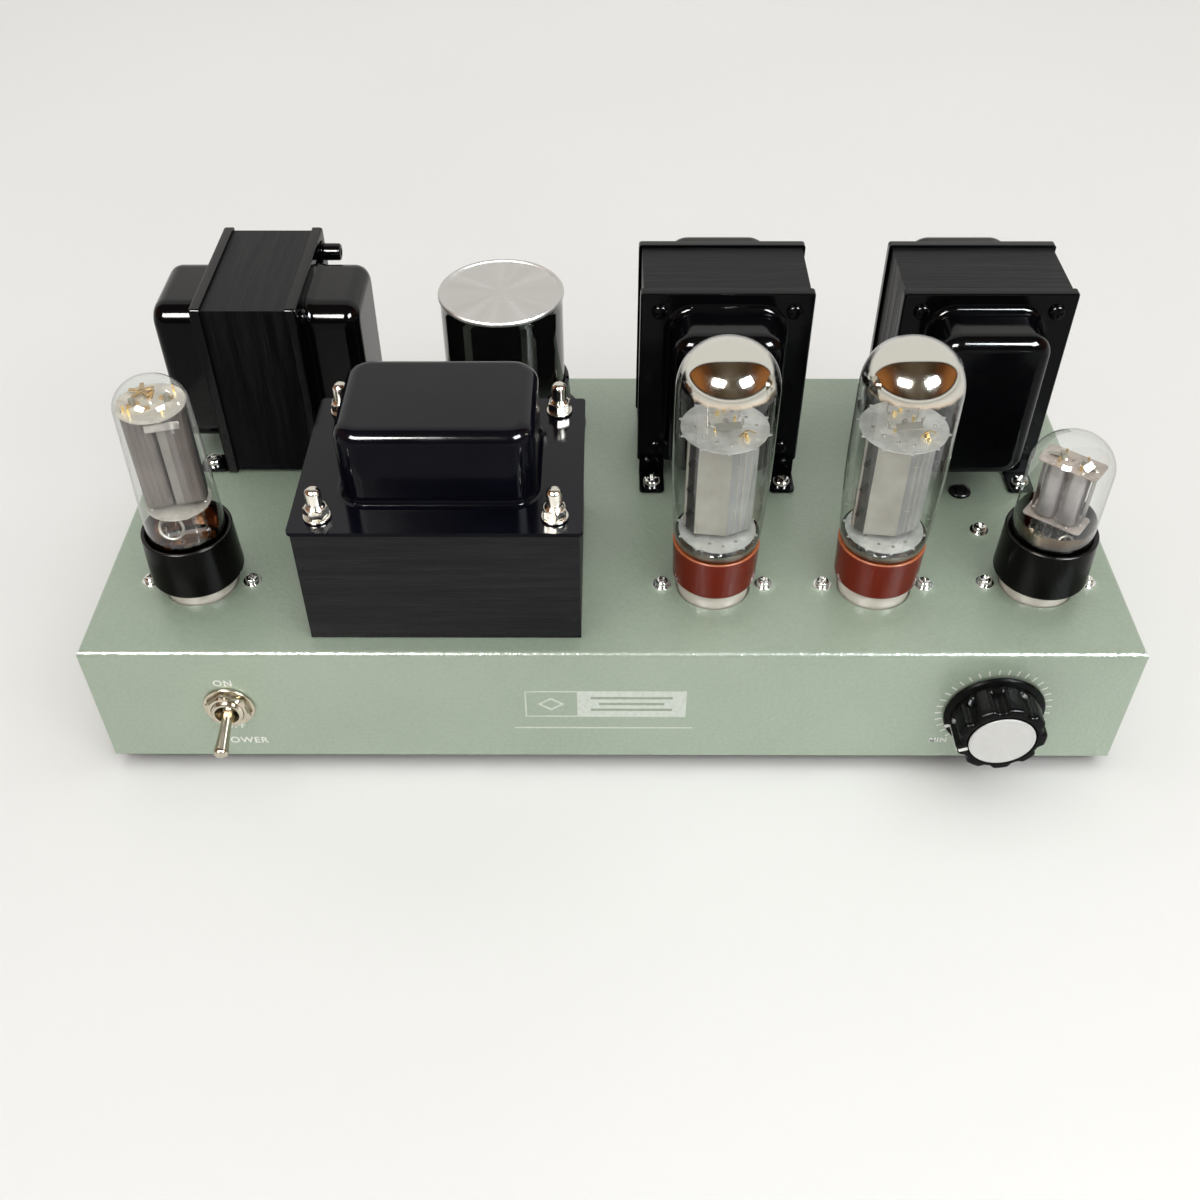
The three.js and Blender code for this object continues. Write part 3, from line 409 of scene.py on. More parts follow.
# Lit and shaded copies of the anode metal: a painted cool reflection and painted shade for the faces of
# the power tube anodes.
PLATE_COOL_REFLECTION = sheet_metal("plate_painted_cool_reflection", (0.255, 0.25, 0.245), 0.36, 0.5)
PLATE_PAINTED_SHADE = sheet_metal("plate_painted_shade", (0.085, 0.082, 0.08), 0.4, 0.5)
PLATE_BROWN = sheet_metal("plate_brown", (0.175, 0.148, 0.135), 0.40, 0.5)
PLATE_PALE = sheet_metal("plate_pale", (0.26, 0.24, 0.22), 0.36, 0.5)
PLATE_MAUVE = sheet_metal("plate_mauve", (0.36, 0.335, 0.335), 0.36, 0.5)
# Painted shade: dark blocks for the shade seen through the anode windows and on the shaded side of the
# rectifier anodes.
SHADE_BLOCK = sheet_metal("painted_shade_block", (0.012, 0.011, 0.010), 0.6, 0.2)
BRASSY = plated("brassy_strip", (0.55, 0.40, 0.22), 0.3)
AMBER = moulded("amber_cement", (0.20, 0.065, 0.012), 0.25, (300, 300, 300))
SLEEVE = enamel("black_sleeve", (0.004, 0.004, 0.004), 0.05, 0.95, 0.5)
WHITE_PRINT = paint("white_print", (0.78, 0.79, 0.75))
PALE_PRINT = paint("pale_print", (0.60, 0.64, 0.58))
GREEN_PRINT = paint("green_print", (0.30, 0.355, 0.27))
BOARD = moulded("board_laminate", (0.20, 0.10, 0.045), 0.5, (300, 300, 300))
WINDING = winding()

# ------------------------------------------------------------------ shapes


def at(x=0.0, y=0.0, z=0.0, rz=0.0, rx=0.0, ry=0.0):
    """Turns about Y, then X, then Z (degrees), then moves."""
    about_z, about_x, about_y = (Matrix.Rotation(math.radians(angle), 4, axis)
                                 for angle, axis in ((rz, "Z"), (rx, "X"), (ry, "Y")))
    return Matrix.Translation((x, y, z)) @ about_z @ about_x @ about_y


def fillet(points, radius, steps=4):
    """A profile with its inner corners rounded."""
    out = [points[0]]
    for before, corner, after in zip(points, points[1:], points[2:]):
        a, c, b = Vector(before), Vector(corner), Vector(after)
        u, v = a - c, b - c
        reach = min(radius, u.length * 0.48, v.length * 0.48)
        if reach < 1e-4 or abs(u.normalized().cross(v.normalized())) < 0.05:
            out.append(tuple(corner))
            continue
        p, q = c + u.normalized() * reach, c + v.normalized() * reach
        for i in range(steps + 1):
            t = i / steps
            out.append(tuple((1 - t) ** 2 * p + 2 * t * (1 - t) * c + t * t * q))
    return out + [points[-1]]


def circle(radius, sides, height):
    """Points round the Z axis, or the single point of a pole."""
    if radius < 1e-6:
        return [(0, 0, height)]
    return [(radius * math.cos(TAU * i / sides), radius * math.sin(TAU * i / sides), height)
            for i in range(sides)]


def shoulder(radius, level, steps=8):
    """(Offset, height) points of a quarter round that starts upright at a level."""
    angles = [math.pi / 2 * i / steps for i in range(1, steps + 1)]
    return [(radius * math.cos(a) - radius, level + radius * math.sin(a)) for a in angles]


def rings_mesh(rings, closed_ends=True, loop=False):
    """Faces between rings of points. A ring of one point is a pole."""
    mesh = bmesh.new()
    made = [[mesh.verts.new(p) for p in ring] for ring in rings]
    pairs = list(zip(made, made[1:])) + ([(made[-1], made[0])] if loop else [])
    for low, high in pairs:
        n = max(len(low), len(high))
        for i in range(n):
            j = (i + 1) % n
            if len(low) == 1:
                mesh.faces.new((low[0], high[j], high[i]))
            elif len(high) == 1:
                mesh.faces.new((low[i], low[j], high[0]))
            else:
                mesh.faces.new((low[i], low[j], high[j], high[i]))
    if closed_ends and not loop:
        for ring, flip in ((made[0], True), (made[-1], False)):
            if len(ring) > 2:
                mesh.faces.new(ring[::-1] if flip else ring)
    bmesh.ops.recalc_face_normals(mesh, faces=mesh.faces)
    return mesh


def lathe(profile, sides=64, loop=False, closed_ends=True):
    """Turned shape about Z from (radius, height) points."""
    return rings_mesh([circle(radius, sides, height) for radius, height in profile], closed_ends, loop)


def turned(profile, corner=0.0, sides=32, steps=4):
    """Solid turned shape whose ends are closed to the axis, with its corners rounded."""
    points = [(0, profile[0][1]), *profile, (0, profile[-1][1])]
    return lathe(fillet(points, corner, steps) if corner else points, sides)


def skin(profile, sides):
    """Turned surface without end faces."""
    return lathe(profile, sides, closed_ends=False)


def cylinder(radius, low, high, sides=32):
    return turned([(radius, low), (radius, high)], 0, sides)


def rounded(width, depth, corner, steps=8):
    """Outline of a rounded rectangle."""
    corner = max(0.01, min(corner, width / 2 - 0.01, depth / 2 - 0.01))
    points = []
    for k, (sx, sy) in enumerate(((1, 1), (-1, 1), (-1, -1), (1, -1))):
        for i in range(steps + 1):
            angle = (k + i / steps) * math.pi / 2
            points.append((sx * (width / 2 - corner) + corner * math.cos(angle),
                           sy * (depth / 2 - corner) + corner * math.sin(angle)))
    return points


def pressed(width, depth, corner, profile, steps=8):
    """Pressed cover: rounded rectangles grown by each (offset, height), closed on top."""
    rings = [[(x, y, h) for x, y in rounded(width + 2 * o, depth + 2 * o, corner + o, steps)] for o,
             h in profile]
    return rings_mesh(rings)


def round_edges(mesh, edges, size, steps, clamp=False):
    bmesh.ops.bevel(mesh, geom=edges, offset=size, offset_type="OFFSET", segments=steps,
                    profile=0.5, affect="EDGES", clamp_overlap=clamp)


def soften(mesh, size, steps=2, angle=30):
    """Rounds every edge sharper than the angle."""
    if size > 0:
        limit = math.radians(angle)
        edges = [e for e in mesh.edges if len(e.link_faces) == 2 and e.calc_face_angle(0) > limit]
        round_edges(mesh, edges, size, steps, True)
    return mesh


def prism(outline, z0, z1, size=0.2, steps=2):
    mesh = rings_mesh([[(x, y, z) for x, y in outline] for z in (z0, z1)])
    return soften(mesh, size, steps, 40)


def block(low, high, size=0.2, steps=2):
    outline = [(low[0], low[1]), (high[0], low[1]), (high[0], high[1]), (low[0], high[1])]
    return prism(outline, low[2], high[2], size, steps)


def sweep(path, radius, sides=8):
    """Round wire along a path."""
    points = [Vector(p) for p in path]
    rings, normal = [], None
    for i, point in enumerate(points):
        ahead = (points[min(i + 1, len(points) - 1)] - points[max(i - 1, 0)]).normalized()
        if normal is None:
            normal = ahead.orthogonal().normalized()
        normal = (normal - ahead * normal.dot(ahead)).normalized()
        side = ahead.cross(normal)
        rings.append([point + radius * (math.cos(TAU * k / sides) * normal
                                        + math.sin(TAU * k / sides) * side) for k in range(sides)])
    return rings_mesh(rings)


def ring(radius, wire, sides=40, wire_sides=8):
    """A torus lying flat."""
    rings = []
    for i in range(sides):
        a = TAU * i / sides
        rings.append([((radius + wire * math.cos(TAU * k / wire_sides)) * math.cos(a),
                       (radius + wire * math.cos(TAU * k / wire_sides)) * math.sin(a),
                       wire * math.sin(TAU * k / wire_sides)) for k in range(wire_sides)])
    return rings_mesh(rings, loop=True)


def smooth_path(points, steps=6):
    """Catmull-Rom points through a path."""
    points = [Vector(p) for p in points]
    ends = [2 * points[0] - points[1], *points, 2 * points[-1] - points[-2]]
    out = []
    for a, b, c, d in zip(ends, ends[1:], ends[2:], ends[3:]):
        for i in range(steps):
            t = i / steps
            out.append(0.5 * (2 * b + (c - a) * t + (2 * a - 5 * b + 4 * c - d) * t * t
                              + (3 * b - a - 3 * c + d) * t ** 3))
    return [tuple(p) for p in out + [points[-1]]]


def carved(mesh, *cutters):
    """The mesh with each cutter taken away."""
    objects = []
    for source in (mesh, *cutters):
        data = bpy.data.meshes.new("carving")
        source.to_mesh(data)
        source.free()
        made = bpy.data.objects.new("carving", data)
        bpy.context.scene.collection.objects.link(made)
        objects.append(made)
    for cutter in objects[1:]:
        step = objects[0].modifiers.new("cut", "BOOLEAN")
        step.operation, step.solver, step.object = "DIFFERENCE", "EXACT", cutter
    evaluated = objects[0].evaluated_get(bpy.context.evaluated_depsgraph_get())
    result = bmesh.new()
    result.from_mesh(evaluated.to_mesh())
    for made in objects:
        data = made.data
        bpy.data.objects.remove(made)
        bpy.data.meshes.remove(data)
    return result


def rod(x, y, low, high, radius, sides=8):
    return sweep([(x, y, low), (x, y, high)], radius, sides)


def bent(points, radius):
    return sweep(smooth_path(points), radius)


class Shape:
    """One piece under construction, about a place. Each part has its own material."""

    def __init__(self, place=Matrix()):
        self.mesh = bmesh.new()
        self.materials = []
        self.place = place

    def screw(self, material, where, size=1.0):
        """Adds a cross-head screw, which stands on its own z = 0."""
        return self.add(PHILLIPS.copy(), material, where @ Matrix.Scale(size, 4))

    def add(self, part, material, where=Matrix()):
        if material not in self.materials:
            self.materials.append(material)
        data = bpy.data.meshes.new("part")
        part.to_mesh(data)
        part.free()
        data.transform(self.place @ where)
        index = self.materials.index(material)
        for face in data.polygons:
            face.material_index = index
        self.mesh.from_mesh(data)
        bpy.data.meshes.remove(data)
        return self


def piece(name, body, slot, shape, *replaces, sharp=35):
    """Makes the finished object, in metres, and rides it on its body. The slot argument is not used."""
    mesh = shape.mesh
    mesh.transform(Matrix.Scale(MM, 4))
    mesh.normal_update()
    for face in mesh.faces:
        face.smooth = True
    for edge in mesh.edges:
        edge.smooth = len(edge.link_faces) == 2 and edge.calc_face_angle(0) < math.radians(sharp)
    data = bpy.data.meshes.new(name)
    mesh.to_mesh(data)
    mesh.free()
    for material in shape.materials:
        data.materials.append(material)
    made = bpy.data.objects.new(name, data)
    bpy.context.scene.collection.objects.link(made)
    made.modifiers.new("weighted", "WEIGHTED_NORMAL").keep_sharp = True
    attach(made, body)
    if replaces:
        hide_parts(*replaces)
    return made


def fixed(name, slot, shape, *replaced, sharp=35):
    """A piece that stays with the amplifier."""
    piece(name, "amplifier", slot, shape, *replaced, sharp=sharp)


# ------------------------------------------------------------------ fasteners


def smooth_lathe(points):
    path = smooth_path([(r, 0, z) for r, z in points], 3)
    path = [(max(p[0], 0.0), p[2]) for p in path]
    path[0], path[-1] = (0.0, path[0][1]), (0.0, path[-1][1])
    return path


def phillips_head(radius=2.7, height=2.1):
    """Pan head standing on z = 0 with a crossed recess."""
    profile = fillet([(0, -0.2), (radius, -0.2), (radius, height * 0.45), (radius * 0.86, height * 0.86),
                      (radius * 0.5, height), (0, height)], 0.5, 4)
    arm, width = radius * 0.58, radius * 0.17
    cuts = [block((-arm, -width, height * 0.42), (arm, width, height + 1), 0),
            block((-width, -arm, height * 0.42), (width, arm, height + 1), 0)]
    return carved(lathe(profile, 36), *cuts)


PHILLIPS = phillips_head()


def nut(radius, height, bore=0.0):
    """Hexagon nut with turned-off corners, standing on z = 0."""
    corner = radius * 0.13
    half_side = math.pi / 6
    rings = []
    for z, shrink in ((0, corner), (corner * 0.6, 0), (height - corner * 0.6, 0), (height, corner)):
        points = []
        for i in range(72):
            angle = TAU * i / 72
            slant = (angle + half_side) % (2 * half_side) - half_side
            flat = radius * math.cos(half_side) / math.cos(slant)
            reach = min(flat, radius - shrink * 1.2)
            points.append((reach * math.cos(angle), reach * math.sin(angle), z))
        rings.append(points)
    if bore:
        return rings_mesh(rings + [circle(bore, 72, z) for z in (height, 0)], loop=True)
    return rings_mesh(rings)


def threaded(radius, z0, z1, pitch=0.8):
    """Rod with thread ridges and a domed end."""
    profile = [(0, z0), (radius * 0.9, z0)]
    z = z0 + 0.2
    while z < z1 - radius * 0.8:
        profile += [(radius * 0.88, z), (radius, z + pitch / 2)]
        z += pitch
    profile += [(radius * 0.9, z), (radius * 0.86, z1 - radius * 0.5),
                (radius * 0.62, z1 - radius * 0.18), (radius * 0.3, z1), (0, z1)]
    return lathe(profile, 28)


# ------------------------------------------------------------------ chassis

def bar_y(radius, y0, y1, sides=40):
    """Cylinder along Y."""
    mesh = cylinder(radius, y0, y1, sides)
    mesh.transform(Matrix.Rotation(math.radians(-90), 4, "X"))
    return mesh


def moved(mesh, x=0.0, y=0.0, z=0.0):
    mesh.transform(at(x, y, z))
    return mesh


def folded_chassis():
    low, high = box("chassis")
    sheet, bend = 1.5, 2.2
    shell = block(low, high, 0)
    top = [e for e in shell.edges if all(v.co.z > high.z - 0.1 for v in e.verts)]
    round_edges(shell, top, bend, 7)
    corners = [e for e in shell.edges if len(e.link_faces) == 2 and e.calc_face_angle(0) > 1]
    upright = [e for e in corners if abs(e.verts[0].co.z - e.verts[1].co.z) > 20]
    round_edges(shell, upright, 0.6, 3)
    inset = Vector((sheet, sheet, sheet))
    cuts = [block((low.x + sheet, low.y + sheet, low.z - 1), high - inset, 0)]

    def hole(x, y, radius):
        cuts.append(moved(cylinder(radius, -6, 6, 40), x, y, high.z))

    for tube in TUBES:
        middle = centre("socket_" + tube)
        hole(middle.x, middle.y, 13.8)
    for unit in ("choke_core", "output_left_core", "output_right_core"):
        hole(centre(unit).x, centre(unit).y, 7)
    hole(centre("capacitor_can").x, centre("capacitor_can").y, 16)
    coil_low, coil_high = box("mains_coil")
    cuts.append(block((coil_low.x - 2, coil_low.y - 2, high.z - 8),
                      (coil_high.x + 2, coil_high.y + 2, high.z + 8), 0))
    for stud in STUDS:
        hole(centre(stud).x, centre(stud).y, 2.7)
    for node, radius in (("toggle_body", 6.3), ("volume_shaft", 5.1)):
        cuts.append(moved(bar_y(radius, -6, 6), centre(node).x, low.y, centre(node).z))
    inlet_low, inlet_high = box("mains_inlet")
    cuts.append(block((inlet_low.x + 3.5, high.y - 6, inlet_low.z + 1.8),
                      (inlet_high.x - 3.5, high.y + 6, inlet_high.z - 1.8), 0))
    jack_holes = [(centre("input_jacks").x + side, 5.2) for side in (-10, 10)]
    for x, radius in jack_holes + [(x, 4.2) for x in POST_PLACES]:
        cuts.append(moved(bar_y(radius, -6, 6), x, high.y, centre("input_jacks").z))
    return carved(shell, *cuts)


TUBES = ("rectifier", "power_left", "power_right", "driver")
STUDS = [f"mains_stud_{end}_{side}" for end in ("front", "rear") for side in ("left", "right")]
POSTS = ("left_minus", "left_plus", "right_minus", "right_plus")
POST_PLACES = [centre("post_cap_" + post).x for post in POSTS]

fixed("chassis_shell", "chassis_coat", Shape().add(folded_chassis(), COAT), "chassis", sharp=25)


def bottom_cover():
    low, high = box("bottom_plate")
    plate = block(low, high, 0)
    slots = []
    for y in (48, 125):
        for x in (-130, -65, 0, 65, 130):
            for row in (-5, 5):
                outline = [(x + px, FRONT + y + row + py) for px, py in rounded(34, 3, 1.4, 5)]
                slots.append(prism(outline, low.z - 1, high.z + 1, 0))
    return soften(carved(plate, *slots), 0.1, 1, 40)


cover = Shape().add(bottom_cover(), ENAMEL)
for x in (-0.5, 0, 0.5):
    for side in (-1, 1):
        middle = centre("bottom_plate")
        cover.screw(ZINC, at(x * 340, middle.y + side * 79, PANEL_BASE - 1.1, rx=180), 0.7)
fixed("bottom_cover", "black_paint", cover, "bottom_plate")

for node in [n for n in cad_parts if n.startswith("foot_")]:
    middle, low = centre(node), box(node)[0]
    pad = turned([(3.4, 1.4), (3.9, 0), (7.6, 0), (9, 1.2), (8.7, 4.7)], 0.7, 48)
    shape = Shape().add(pad, RUBBER, at(middle.x, middle.y, low.z))
    shape.screw(ZINC, at(middle.x, middle.y, low.z + 1.9, rx=180), 0.8)
    fixed(node + "_rubber", "foot_rubber", shape, node)

# Screw heads and grommets on the deck. The order of the draws from dice sets each head's turn.
SCREW_PITCH = 37.8
heads = Shape()
dice = random.Random(5)


def deck_screw(x, y, height=0.0, size=1.0):
    """Screw head on a thing of some height, or on its own washer on the deck."""
    turn = dice.uniform(0, 180)
    if height == 0:
        washer = fillet([(1.2, 0), (3.7 * size, 0), (3.6 * size, 0.35), (1.2, 0.4)], 0.1)
        heads.add(lathe(washer, 32), CHROME, at(x, y, DECK))
    heads.screw(CHROME, at(x, y, DECK + (height or 0.4), turn), size)


for tube in TUBES:
    middle = centre("socket_" + tube)
    for side in (-0.5, 0.5):
        deck_screw(middle.x + side * SCREW_PITCH, middle.y, size=0.95)
deck_screw(143.6, FRONT + 67.7)
CLAMP = centre("capacitor_clamp")
for i in range(3):
    angle = math.pi / 2 + i * TAU / 3
    deck_screw(CLAMP.x + 29.5 * math.cos(angle), CLAMP.y + 29.5 * math.sin(angle), 1.9, 0.85)
TAB = {"offset": 26.2, "screw": 6.6, "sheet": 1.5}
for unit, turn in (("choke", 90), ("output_left", 0), ("output_right", 0)):
    middle = centre(unit + "_core")
    for side in (-1, 1):
        for end in (-1, 1):
            spot = Matrix.Rotation(math.radians(turn), 3, "Z") @ Vector(
                (side * TAB["offset"], end * (20 + TAB["screw"]), 0))
            deck_screw(middle.x + spot.x, middle.y + spot.y, TAB["sheet"], 1.3)
fixed("deck_screws", "nickel", heads)

grommets = Shape()
for x, y in ((42.6, 91), (140.5, 91)):
    profile = fillet([(0, 0), (4.6, 0), (4.4, 1.4), (2.2, 2.3), (0, 2.5)], 0.8)
    grommets.add(lathe(profile, 36), BLACK_PLASTIC, at(x, FRONT + y, DECK))
fixed("deck_grommets", "black_plastic", grommets)

# ------------------------------------------------------------------ printed legends


def lettering(text, height):
    """Plain letters lying in the XZ plane, centred on the origin."""
    curve = bpy.data.curves.new("letters", "FONT")
    curve.body, curve.size, curve.extrude = text, height / 0.70, 0.02
    curve.offset = height * 0.022
    curve.align_x, curve.align_y, curve.space_character = "CENTER", "CENTER", 1.12
    letters = bpy.data.objects.new("letters", curve)
    bpy.context.scene.collection.objects.link(letters)
    mesh = bmesh.new()
    mesh.from_mesh(letters.evaluated_get(bpy.context.evaluated_depsgraph_get()).to_mesh())
    bpy.data.objects.remove(letters)
    bpy.data.curves.remove(curve)
    mesh.transform(Matrix.Rotation(math.radians(90), 4, "X"))
    return mesh


def panel_strip(x0, z0, x1, z1, proud=0.05):
    """Flat printed bar between two corners on the front panel."""
    return block((x0, FRONT - proud, z0), (x1, FRONT + 0.05, z1), 0)


print_shape = Shape()
for text, x, z, size in (("ON", -140.8, 46.1, 3.0), ("OFF", -140.8, 23.0, 3.0),
                         ("POWER", -138.3, 14.6, 3.2), ("MIN", 123.3, 15.5, 2.5),
                         ("MAX", 157.5, 15.5, 2.5)):
    print_shape.add(lettering(text, size), WHITE_PRINT, at(x, FRONT - 0.02, z))
KNOB = centre("volume_shaft")
for i in range(28):
    angle = math.radians(225 - 10 * i)
    tick = block((18.7, -0.05, -0.24), (21.2, 0.05, 0.24), 0)
    print_shape.add(tick, WHITE_PRINT, at(KNOB.x, FRONT - 0.02, KNOB.z, ry=-math.degrees(angle)))
fixed("panel_print", "chassis_coat", print_shape)


def badge():
    """Plain plate motif: an outlined field with a lozenge, and a pale field with three bars."""
    shape = Shape()
    x0, x1, z0, z1, split, line = -31.7, 27.5, 28.4, 42.4, -12.5, 0.55
    shape.add(panel_strip(split, z0, x1, z1), PALE_PRINT)
    for strip in ((x0, z0, split, z0 + line), (x0, z1 - line, split, z1), (x0, z0, x0 + line, z1)):
        shape.add(panel_strip(*strip), PALE_PRINT)
    centre_x, centre_z = (x0 + split) / 2, (z0 + z1) / 2
    lozenge = [(-5, 0), (0, -3.4), (5, 0), (0, 3.4)]
    inner = [(0.72 * px, 0.72 * pz) for px, pz in lozenge]
    outline = rings_mesh([[(px, y, pz) for px, pz in ring] for ring, y in
                          ((lozenge, 0.05), (lozenge, -0.05), (inner, -0.05), (inner, 0.05))], loop=True)
    shape.add(outline, PALE_PRINT, at(centre_x, FRONT, centre_z))
    for i, width in enumerate((30, 24, 30)):
        shape.add(panel_strip((split + x1) / 2 - width / 2, z1 - 4.3 - 3.2 * i,
                              (split + x1) / 2 + width / 2, z1 - 3.0 - 3.2 * i, 0.09), GREEN_PRINT)
    shape.add(panel_strip(-35.9, 21.9, 30.4, 22.5), PALE_PRINT)
    return shape


fixed("panel_badge", "chassis_coat", badge())

# ------------------------------------------------------------------ sockets and tubes

PIN_CIRCLE = 8.72


OCTAL = [(PIN_CIRCLE * math.cos((i + 0.5) * TAU / 8), PIN_CIRCLE * math.sin((i + 0.5) * TAU / 8))
         for i in range(8)]


def build_socket(tube):
    """Glazed ring with eight contacts round a keyed hole, and solder lugs below."""
    middle = centre("socket_" + tube)
    place = at(middle.x, middle.y, DECK)
    profile = fillet([(0, -11.5), (11.2, -11.5), (13.2, -9.5), (13.2, 4.4), (12.5, 5.7), (0, 5.7)], 0.9,
                     5)
    cuts = [moved(cylinder(1.7, -8, 7, 20), x, y) for x, y in OCTAL]
    cuts.append(cylinder(4.4, -10, 7, 40))
    body = carved(lathe(profile, 72), *cuts)
    ears = carved(prism(rounded(46, 20, 7, 8), -4.2, -1.8, 0.3), cylinder(12.9, -9, 3, 60))
    fixed(f"ceramic_{tube}", "socket_ceramic",
          Shape(place).add(body, CERAMIC).add(ears, CERAMIC), "socket_" + tube)
    contacts = Shape(place)
    for x, y in OCTAL:
        sleeve = lathe([(1.2, -7.5), (1.6, -7.5), (1.6, 5.0), (1.35, 5.3), (1.2, 5.0)], 20, loop=True)
        contacts.add(sleeve, TIN, at(x, y, 0))
        lug = block((-0.3, -1.2, -11.4), (0.3, 1.2, -8.1), 0.1)
        contacts.add(lug, TIN, at(x, y, 0) @ Matrix.Rotation(math.atan2(y, x), 4, "Z"))
    fixed(f"contacts_{tube}", "nickel", contacts)


def build_base(tube, radius, flare, height, wall, body_look, rim_look, slot):
    middle = centre(f"tube_{tube}_base")
    place = at(middle.x, middle.y, DECK)
    bottom = 6.0
    top = bottom + height
    outer = radius + flare
    cup = [(0, bottom + 0.3), (3.6, bottom + 0.3), (3.9, bottom), (radius - 1, bottom),
           (radius, bottom + 1), (outer, top - 0.45)]
    rim = [(outer, top - 0.45), (outer - 0.12, top - 0.1), (outer - 0.5, top), (outer - wall, top - 0.3),
           (outer - wall, bottom + 2.6), (0, bottom + 2.6)]
    shape = Shape(place).add(skin(fillet(cup, 0.8, 5), 96), body_look)
    shape.add(skin(fillet(rim, 0.35, 3), 96), rim_look)
    key = turned([(2.7, bottom - 12.9), (3.7, bottom - 11.6), (3.9, bottom)], 0.8, 40)
    shape.add(key, body_look)
    shape.add(block((3.2, -0.7, bottom - 11.5), (4.25, 0.7, bottom), 0.2), body_look)
    piece(f"cup_{tube}", "tube_" + tube, slot, shape, f"tube_{tube}_base")
    pins = Shape(place)
    for x, y in OCTAL:
        pin = turned([(0.55, bottom - 10.5), (1.12, bottom - 9.3), (1.12, bottom - 0.4),
                      (1.45, bottom + 0.1)], 0.4, 20)
        pins.add(pin, NICKEL, at(x, y, 0))
    piece(f"pins_{tube}", "tube_" + tube, "nickel", pins)


def dome(radius, low, high, inset=0.0, steps=24, power=2.0):
    """Quarter ellipse from the shoulder to the crown, squarer for a power above 2."""
    angles = [math.pi / 2 * i / steps for i in range(steps + 1)]
    return [((radius - inset) * max(math.cos(a), 0.0) ** (2 / power),
             low + (high - inset - low) * math.sin(a) ** (2 / power)) for a in angles]


def build_bulb(tube, outline, top, power=2.0):
    """Thin glass: an outside face, and the rounded foot where it meets the stem."""
    middle = centre(f"tube_{tube}_bulb")
    place = at(middle.x, middle.y, DECK)
    radius, shoulder = outline[-1]
    foot = [(0.0, 9.6), (6, 9.4), (outline[0][0] - 1.4, 9.4), *outline[:-1]]
    crown = dome(radius, shoulder, top, power=power)
    glass = lathe(fillet(foot, 2.5, 4) + crown[:-1] + [(0, top)], 112)
    piece(f"glass_{tube}", "tube_" + tube, "tube_glass", Shape(place).add(glass, GLASS),
          f"tube_{tube}_bulb", sharp=80)


def stem(glass, wire, span, pinch_top, wires):
    """Flared glass foot pressed flat around the lead wires."""
    flare = [(11, 9.8), (8.5, 10.6), (6.2, 12.5), (5.2, 15.5), (4.8, 18)]
    glass.add(lathe(fillet([(0, 9.8)] + flare + [(0, 18.5)], 1.2), 48), STEM_GLASS)
    pinch = rounded(2 * span + 2.6, 3.4, 1.6, 6)
    body = rings_mesh([[(x * k, y * w, z) for x, y in pinch] for z, k, w in
                       ((15, 0.55, 2.6), (17.5, 0.8, 1.7), (20, 1.0, 1.0), (pinch_top - 0.8, 1.0, 1.0),
                        (pinch_top, 0.96, 0.7))])
    glass.add(body, STEM_GLASS)
    for x, y, z1 in wires:
        wire.add(sweep([(x * 0.6, 0, 11), (x * 0.9, 0, 15), (x, 0, pinch_top - 2), (x, y, pinch_top + 3),
                                 (x, y, z1)], 0.42), TIN)


def spiked(radius, teeth, depth, width, start=0.2):
    """Round mica outline with small pointed tabs that touch the glass. Width in radians."""
    points = []
    for k in range(teeth):
        tip = start + k * TAU / teeth
        for offset, r in ((-width, radius - depth), (0.0, radius), (width, radius - depth)):
            points.append((r * math.cos(tip + offset), r * math.sin(tip + offset)))
        for j in range(1, 8):
            angle = tip + width + (TAU / teeth - 2 * width) * j / 8
            points.append(((radius - depth) * math.cos(angle), (radius - depth) * math.sin(angle)))
    return points


def eyelet(wire, x, y, z, radius, material=TIN):
    wire.add(ring(radius, 0.22, 20, 6), material, at(x, y, z + 0.15))


def begin_tube(tube, turn):
    """Socket of a tube, and a shape each for its glass, wires, micas and plates."""
    build_socket(tube)
    axis = centre("socket_" + tube)
    return [Shape(at(axis.x, axis.y, DECK, turn)) for _ in range(4)]


def getter(tube, film, look):
    axis = centre("socket_" + tube)
    shape = Shape(at(axis.x, axis.y, DECK)).add(film, look)
    piece(f"getter_{tube}", "tube_" + tube, "electrode_metal", shape)


def finish_tube(tube, glass, wire, mica, plate):
    for name, slot, shape, *replaced in (("stem", "tube_glass", glass), ("wires", "nickel", wire),
                                         ("micas", "socket_ceramic", mica),
                                         ("plates", "electrode_metal", plate, f"tube_{tube}_electrodes")):
        piece(f"{name}_{tube}", "tube_" + tube, slot, shape, *replaced, sharp=40)


def anode_can(place, width, depth, low, high):
    """Open tube of bent sheet with rounded corners, its axis at x = place."""
    outline = [(place + x, y) for x, y in rounded(width, depth, 2.6, 6)]
    inner = [(place + x * 0.93, y * 0.93) for x, y in rounded(width, depth, 2.6, 6)]
    return carved(prism(outline, low, high, 0.3),
                  rings_mesh([[(x, y, z) for x, y in inner] for z in (low - 1, high + 1)]))


def film_shell(radius, low, high, power, inset, start):
    """The inside face of a dome from a height up."""
    points = [(r, z) for r, z in dome(radius, low, high, inset, 40, power) if z >= start]
    points[-1] = (0, high - inset)
    return skin(points, 96)


POWER_BULB = {"radius": 17.3, "low": 86.5, "high": 104.2, "power": 2.35}


